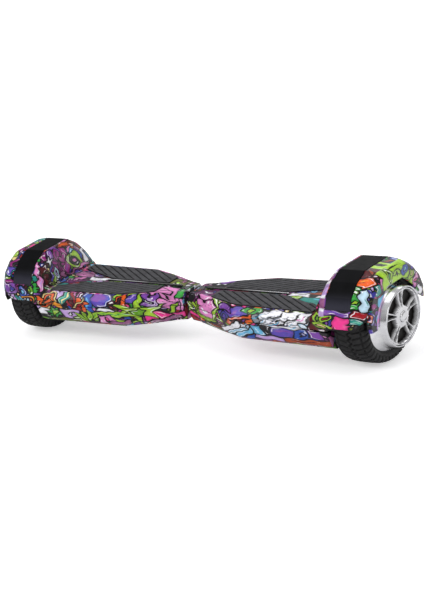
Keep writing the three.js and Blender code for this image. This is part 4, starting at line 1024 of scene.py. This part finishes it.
def paint(me, right, seed, shells):
    """Writes the Fill, Line and Bare attributes: cells, then scattered shapes, then the placed ones."""
    v, n = coords(me), normals(me)
    g = np.random.default_rng(seed)
    # cells: warped and stretched Voronoi, so that nothing is left plain between the shapes
    warp = np.stack([4 * np.sin(v[:, 2] * 0.16 + 1.3 * np.sin(v[:, 0] * 0.05)), 4 * np.sin(v[:, 0] * 0.14 + v[:, 2] * 0.06), 4 * np.sin(v[:, 0] * 0.15 + v[:, 1] * 0.11)], 1)
    lo, hi = v.min(0) - 8, v.max(0) + 8
    count = int(np.prod(hi - lo) / 22.0 ** 3)
    seeds = g.uniform(lo, hi, (count, 3))
    names = [MIXED[i] for i in g.integers(len(MIXED), size=count)]
    cols = np.array([lin(COL[c]) for c in names])
    q = v + warp
    tree = KDTree(count)
    for k in range(count):
        tree.insert(seeds[k].tolist(), k)
    tree.balance()
    near = np.array([[h[1] for h in tree.find_n(p, 5)] for p in q.tolist()])
    i1 = near[:, 0]
    own = seeds[i1]
    d1 = ((q - own) ** 2).sum(1)
    line = np.full(len(v), 1e9)
    for k in range(1, 5):
        other = seeds[near[:, k]]
        dd = (((q - other) ** 2).sum(1) - d1) / (2 * np.linalg.norm(own - other, axis=1) + 1e-9)
        line = np.minimum(line, dd)
    fill = cols[i1]

    order_x = np.argsort(v[:, 0])
    xs = v[order_x, 0]

    def stamp(decal):
        nn, u, w, c, rot, layers = decal
        reach = max(np.abs(l[0]).max() for l in layers) * 1.5 + 3
        k0, k1 = np.searchsorted(xs, [c[0] - reach - 46, c[0] + reach + 46])
        part = order_x[k0:k1]
        d = v[part] - c
        a, b = d @ u, d @ w
        depth = np.abs(d @ nn)
        limit = 45 if abs(c @ nn) < 1e-6 and abs(nn[1]) > 0.9 else 26
        if abs(nn[1]) > 0.999 and abs(c[1]) < 1e-6:
            depth = np.where(v[part, 1] * nn[1] > 0, 0, 1e9)
        hit = (np.abs(a) < reach) & (np.abs(b) < reach) & (depth < limit) & (n[part] @ nn > 0.30)
        idx, a, b = part[hit], a[hit], b[hit]
        if len(idx) == 0:
            return
        cr, sr = math.cos(rot), math.sin(rot)
        p = np.stack([a * cr + b * sr, -a * sr + b * cr], 1)
        w1, w2 = v[idx, 0] * 0.21 + v[idx, 2] * 0.05, v[idx, 2] * 0.24 + v[idx, 1] * 0.19 + v[idx, 0] * 0.07
        p += np.stack([1.9 * np.sin(w2 + 0.7) + 0.8 * np.sin(w1 * 2.1), 1.9 * np.sin(w1) + 0.8 * np.sin(w2 * 1.9 + 1)], 1)
        for layer in layers:
            sd = sd_poly(p, layer[0])
            inside = sd < 0
            lined = len(layer) < 3 or layer[2]
            fill[idx[inside]] = lin(COL[layer[1]])
            if lined:
                line[idx[inside]] = -sd[inside]
                line[idx[~inside]] = np.minimum(line[idx[~inside]], sd[~inside])

    # scattered shapes
    order = g.permutation(len(v))[:9000]
    chosen, spots = [], np.full((600, 3), 1e6)
    for i in order:
        if ((spots - v[i]) ** 2).sum(1).min() > 19.0 ** 2:
            spots[len(chosen)] = v[i]
            chosen.append(i)
        if len(chosen) > 420:
            break
    for i in chosen:
        nn = n[i]
        if np.linalg.norm(nn) < 0.5:
            continue
        stamp(DN(v[i], nn, g.uniform(0, 360), *random_motif(g)))
    for decal in placed(right):
        stamp(decal)
    # bare moulding on the inside
    side = 1 if right else -1
    bvh = []
    for node in shells:
        cv, ct = cad_arrays(node)
        bvh.append(BVHTree.FromPolygons(cv.tolist(), ct.tolist()))
    bare = np.zeros(len(v))
    x = v[:, 0] * side
    r = np.hypot(v[:, 1], v[:, 2] - AXLE_Z)
    well = (x > 246.5) & (x < 304.5) & (r < 106.5)
    inner_wall = (x > 300) & (n[:, 0] * side < -0.3) & (r < 112)
    bare[well | inner_wall] = 1
    for i in np.nonzero(bare == 0)[0]:
        o = Vector(v[i] + n[i] * 1.6)
        dr = Vector(n[i])
        for tree in bvh:
            hit = tree.ray_cast(o, dr, 260)
            if hit[0] is not None and hit[3] > 0.2:
                bare[i] = 1
                break
    # lip of the fender: one long pale stripe round the outer edge of the crown
    ang = np.degrees(np.arctan2(-v[:, 1] , v[:, 2] - AXLE_Z))
    if right:
        opening = r[x > 306.2].min() if (x > 306.2).any() else 0.0
        lip = (x > 306.2) & (ang > 34) & (ang < 90) & (r < opening + 8.0) & (bare == 0)
        fill[lip] = lin(COL["lav"])
        hotpart = lip & (np.sin(ang * 0.35) > 0.5)
        fill[hotpart] = lin(COL["pink"])
        line[lip] = 5.0
        # pale print along the top of the fender's inner edge, at the front: lavender, white and mauve bands with
        # thinner outlines; their lightness is also a painted highlight for this edge
        rim = (x > 238.5) & (x < 246.2) & (v[:, 2] > 132) & (bare == 0)
        tone = np.sin(ang * 0.22 + 1.0)
        for lo_, hi_, c in ((-2, -0.2, "lav"), (-0.2, 0.45, "white"), (0.45, 2, "mauve")):
            m = rim & (tone >= lo_) & (tone < hi_) & (v[:, 1] < 40)
            fill[m] = lin(COL[c])
            line[m] = np.minimum(line[m] + 1.5, 6)
    set_colour(me, "Fill", fill)
    set_float(me, "Line", np.clip(line, 0, 12))
    set_float(me, "Bare", bare)


# ------------------------------------------------------------------ shells
VOXEL = 1.5


ST = [(4, 41), (16, 44), (58, 71), (100, 96), (230, 104)]
MAT_START = 48.0  # the mats begin here, and the deck carries on between them and the waist


def half_depth(x):
    return float(np.interp(x, [s[0] for s in ST], [s[1] for s in ST]))


def welded(node):
    v, t = cad_arrays(node)
    return mesh_from(node + "_weld", v, t, smooth=False)


def decked(node, sx):
    """The top shell with the waist end of the mat recesses filled up to the deck."""
    v, t = cad_arrays(node)
    tree = BVHTree.FromPolygons(v.tolist(), t.tolist())

    def deck(x):
        hits = [tree.ray_cast(Vector((sx * x, y, 180.0)), Vector((0, 0, -1))) for y in (-8.3, 8.3)]
        return min([130.0] + [h[0].z for h in hits if h[0] is not None and h[0].z > 120])

    verts, faces = v.tolist(), [list(map(int, f)) for f in t]
    for ys in (-1.0, 1.0):
        plan = clip([(20.6, 8.2), (22.8, 27.0), (58, half_depth(58) - 16.2), (58, 8.2)], 1, 0, MAT_START)
        o, n = len(verts), len(plan)
        verts += [[sx * x, ys * y, 119.4] for x, y in plan] + [[sx * x, ys * y, deck(x)] for x, y in plan]
        ring = [[o + i for i in range(n)][::-1], [o + n + i for i in range(n)]] + [[o + i, o + (i + 1) % n, o + n + (i + 1) % n, o + n + i] for i in range(n)]
        # the plan runs clockwise seen from above, and each mirroring turns it round again
        faces += [f[::-1] for f in ring] if sx * ys > 0 else ring
    return mesh_from(node + "_decked", np.array(verts), faces, smooth=False)


for side, sx in SIDES:
    pair = [f"top_shell_{side}", f"bottom_shell_{side}"]
    for k, node in enumerate(pair):
        me = remesh(decked(node, sx) if k == 0 else welded(node), VOXEL, 5 if k == 0 else 6)
        paint(me, side == "right", 100 + 10 * k + (side == "right"), pair)
        put(f"printed_{node}", me, [node], MAT["print"])

# ------------------------------------------------------------------ fender strips
for side, sx in SIDES:
    node = f"fender_band_{side}"
    put(f"satin_{node}", remesh(welded(node), 0.9, 4), [node], MAT["band"])

# ------------------------------------------------------------------ foot mats
def mat_outline(g):
    return [(22 + g, 9 + g), (24 + g, 26 - g * 0.6), (58, half_depth(58) - 17 - g), (100, half_depth(100) - 17 - g), (221 - g, half_depth(221) - 17 - g), (221 - g, 54 + g), (148 - g, 9 + g)]


for side, sx in SIDES:
    for end, ys in (("front", -1.0), ("rear", 1.0)):
        node = f"{end}_foot_mat_{side}"
        lo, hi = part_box(node)
        top = hi.z / MM
        base = top - 7.0
        store = ([], [])
        outline = clip(mat_outline(0.6), -1, 0, -(MAT_START + 0.6))
        # small bevels on the corners, so that the mat never rubs in the corners of its recess
        cuts = []
        for i, p1 in enumerate(outline):
            p0, p2 = np.array(outline[i - 1], float), np.array(outline[(i + 1) % len(outline)], float)
            p1 = np.array(p1, float)
            e0, e2 = (p0 - p1) / np.linalg.norm(p0 - p1), (p2 - p1) / np.linalg.norm(p2 - p1)
            bis = -(e0 + e2) / np.linalg.norm(e0 + e2)
            cuts.append((bis[0], bis[1], float(bis @ p1) - 2.3 * float(-bis @ e0)))

        def bevelled(poly):
            for cx_, cy_, d_ in cuts:
                poly = clip(poly, cx_, cy_, d_)
            return poly

        prism(bevelled(outline), base, top - 2.2, store)
        inner = inset_poly(outline, 2.8)
        # narrow border along each edge
        for i, (x, y) in enumerate(outline):
            x2, y2 = outline[(i + 1) % len(outline)]
            l = math.hypot(x2 - x, y2 - y)
            nx, ny = (y2 - y) / l, -(x2 - x) / l
            c = np.mean(np.array(outline), 0)
            if nx * c[0] + ny * c[1] > nx * x + ny * y:
                nx, ny = -nx, -ny
            edge = clip(outline, -nx, -ny, -(nx * x + ny * y - 2.8))
            edge = bevelled(edge)
            if len(edge) > 2:
                prism(edge, base + 1, top, store)
        # slanted ribs, closer to the axis of the board towards the wheel
        a = math.radians(48)
        dx, dy = -math.sin(a), math.cos(a)
        ds = [dx * x + dy * y for x, y in inner]
        t = min(ds) - 4.0
        while t < max(ds) - 1:
            rib = clip(clip(inner, dx, dy, t + 8.4), -dx, -dy, -t)
            if len(rib) > 2:
                prism(rib, base + 1, top, store)
            t += 10.9
        v = np.array(store[0])
        pv, pf = revolve([(base - 6, 0), (base - 6, 3.0), (base + 1, 3.0), (base + 1, 0)], 24, (0, 0, 0), "y")
        pv = pv[:, [0, 2, 1]] * np.array([1, 1, 1]) + np.array([120, 44, 0])
        faces = store[1] + [[q + len(v) for q in f] for f in pf]
        v = np.concatenate([v, pv])
        v[:, 1] *= ys
        me = bpy.data.meshes.new(node + "_raw")
        v[:, 0] *= sx
        me.from_pydata((v * MM).tolist(), [], faces)
        bm = bmesh.new()
        bm.from_mesh(me)
        bmesh.ops.recalc_face_normals(bm, faces=bm.faces)
        bm.to_mesh(me)
        bm.free()
        me = remesh(me, 0.75, 1)
        z = coords(me)[:, 2]
        # painted shade in the grooves: 1 on the groove floors, fading to 0 up the rib sides and on the rib tops
        set_float(me, "GrooveShade", np.clip((top - 0.5 - z) / 0.9, 0, 1) * (z > top - 3.2))
        put(f"grooved_{node}", me, [node], MAT["foot"])

# ------------------------------------------------------------------ seam trims and lenses
for side, sx in SIDES:
    node = f"seam_trim_{side}"
    me = remesh(welded(node), 0.55, 5)
    v = coords(me)
    x = v[:, 0] * sx
    ridge = np.clip((v[:, 2] - (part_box(node)[1].z / MM - 1.1)) / 0.5, 0, 1)
    set_float(me, "Inlay", ridge * np.clip((x - 78) / 26, 0, 1) * np.clip((1.9 - np.abs(v[:, 1])) / 0.5, 0, 1))
    put(f"ridge_{node}", me, [node], MAT["trim"])
    node = f"indicator_lens_{side}"
    put(f"clear_{node}", remesh(welded(node), 0.5, 4), [node], MAT["lens"])

# ------------------------------------------------------------------ wheels
for side, sx in SIDES:
    # rim and drum
    prof = [
        (254, 57.2), (254, 70), (256.5, 75), (260, 75), (263, 68.5), (288, 68.5), (292, 75), (295, 75), (297.5, 71.5), (300.5, 67.2), (305, 64.9),
        (315, 62.7), (315, 60.3), (304, 60.3), (304, 20), (302, 12), (299, 12), (299, 16.3), (290.5, 16.3), (290.5, 21), (297, 26), (297, 57.2),
    ]
    v, f = revolve(fillet(prof, 1.1, closed=True, steps=3), 160)
    put(f"turned_hub_shell_{side}", mesh_from("hub", v, f, sx, sharp=40), [f"hub_shell_{side}"], MAT["rim"])

    # spoked face: a disc cut back between five pairs of spokes
    nr, nt = 84, 420
    rr = np.concatenate([np.linspace(0, 12, 10), np.linspace(12, 57.2, nr - 20)[1:], np.linspace(57.2, 59.3, 12)[1:]])
    ang = np.arange(nt) / nt * 2 * math.pi
    R, A = np.meshgrid(rr, ang, indexing="ij")
    y, z = R * np.cos(A), R * np.sin(A)
    face = np.interp(R, [0, 14, 40, 55, 57.5, 58.6, 59.3], [314.4, 314.3, 312.6, 313.6, 313.8, 313.3, 312.4])
    p = np.stack([y.ravel(), z.ravel()], 1)
    wide = fillet([(-11.0, 22), (11.0, 22), (24.5, 50), (14, 55), (0, 56.4), (-14, 55), (-24.5, 50)], 3.0, closed=True, steps=3)
    slim = fillet([(-1.7, 20), (1.7, 20), (7.0, 53.5), (0, 55), (-7.0, 53.5)], 1.6, closed=True, steps=3)
    sd = np.full(len(p), 1e9)
    for k in range(5):
        for poly, off in ((wide, 36), (slim, 0)):
            t = math.radians(k * 72 + off)
            c, s = math.cos(t), math.sin(t)
            w = poly @ np.array([[c, s], [-s, c]])
            near = np.hypot(*(p - w.mean(0)).T) < 46
            sd[near] = np.minimum(sd[near], sd_poly(p[near], w))
    sd = sd.reshape(R.shape)
    k = np.clip(-sd / 1.5, 0, 1)
    k = k * k * (3 - 2 * k)
    crown = np.clip((3.2 - np.abs(sd)) / 3.2, 0, 1) * (sd > 0) * (R > 18) * (R < 55)
    depth = np.where(R > 12, k, 0)
    x = face - depth * (face - 306.9) - 0.45 * crown ** 2 * (1 - depth)
    x = np.where(R < 12.0, np.minimum(x, 311.0), x)
    v = np.stack([x, y, z + AXLE_Z], -1).reshape(-1, 3)
    faces = []
    for i in range(1, len(rr) - 1):
        for j in range(nt):
            q = (j + 1) % nt
            faces.append([i * nt + j, i * nt + q, (i + 1) * nt + q, (i + 1) * nt + j])
    centre = 0
    for j in range(nt):
        faces.append([centre, nt + j, nt + (j + 1) % nt])
    back = len(v)
    ring = np.stack([np.full(nt, 304.35), 59.3 * np.cos(ang), 59.3 * np.sin(ang) + AXLE_Z], 1)
    v = np.concatenate([v, ring, [[304.35, 0, AXLE_Z]]])
    last = (len(rr) - 1) * nt
    for j in range(nt):
        q = (j + 1) % nt
        faces.append([last + j, last + q, back + q, back + j])
        faces.append([back + j, back + q, back + nt])
    # drop the unused copies of the centre point
    used = np.ones(len(v), bool)
    used[1:nt] = False
    remap = np.cumsum(used) - 1
    pocket = np.concatenate([(depth.ravel()), np.zeros(nt + 1)])[used]
    me = bpy.data.meshes.new("cover")
    vv = v[used].copy()
    vv[:, 0] *= sx
    me.from_pydata((vv * MM).tolist(), [], [[int(remap[i]) for i in f] for f in faces])
    bm = bmesh.new()
    bm.from_mesh(me)
    bmesh.ops.recalc_face_normals(bm, faces=bm.faces)
    if bm.calc_volume(signed=True) < 0:
        bmesh.ops.reverse_faces(bm, faces=bm.faces)
    bm.to_mesh(me)
    bm.free()
    me.shade_smooth()
    me.set_sharp_from_angle(angle=math.radians(50))
    set_float(me, "Pocket", np.clip(pocket * 1.25, 0, 1))
    put(f"spoked_hub_cover_{side}", me, [f"hub_cover_{side}"], MAT["cover"])

    # centre cap with a shallow dish and a bead
    prof = fillet([(311.3, 0), (311.3, 10.9), (315.0, 10.9), (316.4, 9.2), (316.9, 7.6), (315.9, 6.4), (315.7, 3.0), (316.3, 0)], [0, 0.3, 0.9, 0.8, 0.7, 0.8, 1.4, 0], steps=4)
    v, f = revolve(prof, 72)
    put(f"domed_hub_cap_{side}", mesh_from("cap", v, f, sx, sharp=50), [f"hub_cap_{side}"], MAT["rim"])

    # tyre: rounded section with blocks cut into the tread
    ctrl = np.array([(255.5, 75.4), (252.9, 78.5), (252.0, 84), (252.2, 90), (254.0, 95.4), (258.5, 98.9), (266, 99.8), (275.5, 100), (285, 99.8), (292.5, 98.9), (297.0, 95.4), (298.8, 90), (299.0, 84), (298.1, 78.5), (295.5, 75.4)])
    seg = np.concatenate([[0], np.cumsum(np.linalg.norm(np.diff(ctrl, axis=0), axis=1))])
    n = 78
    s = np.linspace(0, seg[-1], n)
    px, pr = np.interp(s, seg, ctrl[:, 0]), np.interp(s, seg, ctrl[:, 1])
    for _ in range(6):
        px[1:-1] = (px[:-2] + 2 * px[1:-1] + px[2:]) / 4
        pr[1:-1] = (pr[:-2] + 2 * pr[1:-1] + pr[2:]) / 4
    pr *= 100.0 / pr.max()
    tx, tr = np.gradient(px), np.gradient(pr)
    ln = np.hypot(tx, tr)
    nx, nr_ = -tr / ln, tx / ln
    if nr_[n // 2] < 0:
        nx, nr_ = -nx, -nr_
    nt = 640
    th = np.arange(nt) / nt * 2 * math.pi
    S, T = np.meshgrid((s / seg[-1] - 0.5) * seg[-1], th)  # distance from the crown in mm
    aS = np.abs(S)
    pitch = 2 * math.pi / 44
    lead = (aS / 30) * 1.1 * pitch
    ph = ((T + lead * 1.0 + (S > 0) * pitch * 0.5) / pitch) % 1
    cut = np.minimum(ph, 1 - ph) * pitch * 100  # mm from the groove's middle
    diag = np.clip((2.3 - cut) / 0.9, 0, 1) * np.clip((aS - 4.0) / 1.2, 0, 1) * np.clip((34.5 - aS) / 2.5, 0, 1)
    zig = 2.6 * (np.abs(((T / pitch * 2) % 2) - 1) * 2 - 1)
    mid = np.clip((1.9 - np.abs(S - zig)) / 0.9, 0, 1)
    shoulder = np.clip((1.5 - np.abs(aS - 17.5)) / 0.8, 0, 1)
    groove = np.maximum(np.maximum(diag, mid), shoulder * 0.8)
    bead = 0.5 * np.clip((0.9 - np.abs(aS - 39.5)) / 0.7, 0, 1) + 0.35 * np.clip((0.7 - np.abs(aS - 43.5)) / 0.5, 0, 1)
    out = -2.7 * groove - bead * 0.8
    X = px[None, :] + nx[None, :] * out
    RR = pr[None, :] + nr_[None, :] * out
    v = np.stack([X, RR * np.cos(T), RR * np.sin(T) + AXLE_Z], -1).reshape(-1, 3)
    inner = [(291.8, 75.4), (287.8, 69.1), (263.2, 69.1), (260.2, 75.4)]
    m = n + len(inner)
    full = np.zeros((nt, m, 3))
    full[:, :n] = v.reshape(nt, n, 3)
    for k, (a, b) in enumerate(inner):
        full[:, n + k] = np.stack([np.full(nt, a), b * np.cos(th), b * np.sin(th) + AXLE_Z], 1)
    faces = []
    for i in range(nt):
        q = (i + 1) % nt
        for j in range(m):
            l = (j + 1) % m
            faces.append([i * m + j, i * m + l, q * m + l, q * m + j])
    me = bpy.data.meshes.new("tyre")
    fv = full.reshape(-1, 3).copy()
    fv[:, 0] *= sx
    me.from_pydata((fv * MM).tolist(), [], faces)
    bm = bmesh.new()
    bm.from_mesh(me)
    bmesh.ops.recalc_face_normals(bm, faces=bm.faces)
    if bm.calc_volume(signed=True) < 0:
        bmesh.ops.reverse_faces(bm, faces=bm.faces)
    bm.to_mesh(me)
    bm.free()
    me.shade_smooth()
    me.set_sharp_from_angle(angle=math.radians(60))
    # painted shade in the tread grooves follows the groove depth
    gr = np.zeros((nt, m))
    gr[:, :n] = groove
    set_float(me, "GrooveShade", gr.ravel())
    put(f"treaded_tyre_{side}", me, [f"tyre_{side}"], MAT["tyre"])

# ------------------------------------------------------------------ rear wall fittings
lo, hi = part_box("charge_port_cap")
cx, cz = (lo.x + hi.x) / 2 / MM, (lo.z + hi.z) / 2 / MM
y1 = hi.y / MM
prof = fillet([(y1 - 6.2, 0), (y1 - 6.2, 3.2), (y1 - 2.2, 3.4), (y1 - 2.2, 9.3), (y1 - 0.6, 9.3), (y1, 7.6), (y1 - 0.5, 6.6), (y1 - 0.6, 3.5), (y1 - 0.3, 0)], [0, 0.6, 0.4, 0.5, 0.8, 0.7, 0.6, 1.2, 0], steps=4)
v, f = revolve(prof, 64, (cx, 0, cz), "y")
me = mesh_from("cap", v, f, sharp=50)
put("soft_charge_port_cap", me, ["charge_port_cap"], MAT["cap"])
lo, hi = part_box("power_button")
cx, cz = (lo.x + hi.x) / 2 / MM, (lo.z + hi.z) / 2 / MM
y1 = hi.y / MM
prof = fillet([(y1 - 10.2, 0), (y1 - 10.2, 6.6), (y1 - 1.2, 6.7), (y1, 5.6), (y1 - 0.5, 4.7), (y1 - 0.5, 3.9), (y1 - 0.1, 3.2), (y1 - 0.6, 0)], [0, 0.3, 0.9, 0.5, 0.3, 0.3, 0.5, 0], steps=4)
v, f = revolve(prof, 64, (cx, 0, cz), "y")
put("domed_power_button", mesh_from("button", v, f, sharp=50), ["power_button"], MAT["black"])

# ------------------------------------------------------------------ finishes on the CAD nodes that stay
FINISH = {
    "chassis": "cast", "axle_clamp": "cast", "motor_cover": "cast", "clamp_screw": "steel", "shell_screw": "steel", "motor_axle": "steel",
    "stator": "winding", "inner_bearing": "bearing", "outer_bearing": "bearing", "magnet_ring": "magnet", "gyro_board": "board", "centre_shaft": "steel",
    "pivot_bush": "bronze", "battery_pack": "wrap", "main_control_board": "board", "charge_port": "black",
}
for name, ob in NODES.items():
    if ob.hide_render:
        continue
    key = next((k for k in FINISH if name.startswith(k)), "black")
    ob.data.materials.clear()
    ob.data.materials.append(MAT[FINISH.get(key, "black")])

# ------------------------------------------------------------------ stage
low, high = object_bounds()
ground = min(low.z, 0.0) - 0.0002
n = 48
size = 30.0
verts, faces = [], []
for i in range(n + 1):
    for j in range(n + 1):
        x, y = (i / n - 0.5) * size, (j / n - 0.5) * size
        verts.append((x, y, ground + 0.00005 * math.sin(i * 3.1) * math.sin(j * 2.3)))
for i in range(n):
    for j in range(n):
        a = i * (n + 1) + j
        faces.append((a, a + n + 1, a + n + 2, a + 1))
me = bpy.data.meshes.new("floor")
me.from_pydata(verts, [], faces)
me.shade_smooth()
floor = bpy.data.objects.new("floor", me)
bpy.context.scene.collection.objects.link(floor)
fm = Mat("pale_floor")
fm.to(fm.mix(fm.ramp(fm.noise(3, 3), 0.3, 0.7), (0.955, 0.955, 0.96), (0.965, 0.965, 0.97)), "Base Color")
fm.to(fm.ramp(fm.noise(20, 3), 0.3, 0.7, 0.55, 0.65), "Roughness")
fm.set(specular_ior_level=0.2)
glow = fm.node("LightPath")
span = fm.node("VectorMath", operation="LENGTH")
fm.link(fm.tc.outputs["Object"], span.inputs[0])
fm.to(fm.math("MULTIPLY", glow.outputs["Is Camera Ray"], fm.ramp(span.outputs["Value"], 0.9, 4.0, 0.42, 1.0)), "Emission Strength")
fm.b.inputs["Emission Color"].default_value = (1, 1, 1, 1)
me.materials.append(fm.m)

world = bpy.data.worlds.new("studio")
bpy.context.scene.world = world
world.use_nodes = True
wt = world.node_tree
bg = wt.nodes["Background"]
grad = wt.nodes.new("ShaderNodeTexCoord")
sep = wt.nodes.new("ShaderNodeSeparateXYZ")
wt.links.new(grad.outputs["Generated"], sep.inputs[0])
mr = wt.nodes.new("ShaderNodeMapRange")
for k, val in zip(("From Min", "From Max", "To Min", "To Max"), (-0.05, 0.6, 0.20, 0.60)):
    mr.inputs[k].default_value = val
wt.links.new(sep.outputs["Z"], mr.inputs["Value"])
path = wt.nodes.new("ShaderNodeLightPath")
cammix = wt.nodes.new("ShaderNodeMix")
cammix.data_type = "FLOAT"
wt.links.new(path.outputs["Is Camera Ray"], cammix.inputs[0])
wt.links.new(mr.outputs["Result"], cammix.inputs[2])
cammix.inputs[3].default_value = 1.0
bg.inputs["Color"].default_value = (1.0, 1.0, 1.0, 1)
wt.links.new(cammix.outputs[0], bg.inputs["Strength"])


def area(name, loc, target, size, power, colour=(1, 1, 1)):
    l = bpy.data.lights.new(name, "AREA")
    l.shape = "RECTANGLE"
    l.size, l.size_y = size
    l.energy = power
    l.color = colour
    o = bpy.data.objects.new(name, l)
    bpy.context.scene.collection.objects.link(o)
    o.location = loc
    o.rotation_mode = "QUATERNION"
    o.rotation_quaternion = (Vector(target) - Vector(loc)).to_track_quat("-Z", "Y")
    return o


area("key", (-0.6, -1.9, 2.0), (0, 0, 0.1), (1.6, 1.0), 26)
area("top", (0.1, 0.2, 2.4), (0, 0, 0.1), (2.2, 1.6), 15)
area("side", (2.4, -0.9, 0.9), (0.2, 0, 0.1), (0.9, 1.2), 8)
area("back", (0.2, 2.2, 1.5), (0, 0, 0.1), (2.0, 0.8), 10)

scene = bpy.context.scene
scene.view_settings.view_transform = "Standard"
scene.view_settings.look = "None"
scene.view_settings.exposure = 0.0

# ------------------------------------------------------------------ camera
cam_data = bpy.data.cameras.new("camera")
cam = bpy.data.objects.new("camera", cam_data)
scene.collection.objects.link(cam)
az, el, dist = math.radians(25.694), math.radians(21.848), 4.200
eye = Vector((dist * math.sin(az) * math.cos(el), -dist * math.cos(az) * math.cos(el), 0.1 + dist * math.sin(el)))
yaw, pitch_, roll = math.radians(73.54), math.radians(11.155), math.radians(-18.178)
d = np.array([math.sin(yaw) * math.cos(pitch_), -math.cos(yaw) * math.cos(pitch_), math.sin(pitch_)])
fwd = -d
right = np.cross(fwd, [0, 0, 1.0])
right /= np.linalg.norm(right)
up = np.cross(right, fwd)
r2 = right * math.cos(roll) + up * math.sin(roll)
u2 = -right * math.sin(roll) + up * math.cos(roll)
rot = Matrix([[r2[i], u2[i], d[i]] for i in range(3)])
cam.matrix_world = Matrix.Translation(eye) @ rot.to_4x4()
cam_data.sensor_width = 36.0
cam_data.lens = 1274.483 * 36.0 / 600.0
cam_data.clip_start, cam_data.clip_end = 0.05, 60.0
SHIFT = ((212 + 1166.185) / 600.0, (265.87 - 300) / 600.0)
cam_data.shift_x, cam_data.shift_y = SHIFT
scene.camera = cam

# the lens shift belongs to this one viewpoint only: it falls to nothing when the camera leaves this marker
marker = bpy.data.objects.new("viewpoint_marker", None)
scene.collection.objects.link(marker)
marker.location = eye
for channel, value in (("shift_x", SHIFT[0]), ("shift_y", SHIFT[1])):
    fc = cam_data.driver_add(channel)
    drv = fc.driver
    drv.type = "SUM"
    var = drv.variables.new()
    var.name = "away"
    var.type = "LOC_DIFF"
    var.targets[0].id = cam
    var.targets[1].id = marker
    for m in list(fc.modifiers):
        fc.modifiers.remove(m)
    for away, val in ((0.0, value), (0.03, value), (0.08, 0.0), (50.0, 0.0)):
        fc.keyframe_points.insert(away, val).interpolation = "LINEAR"
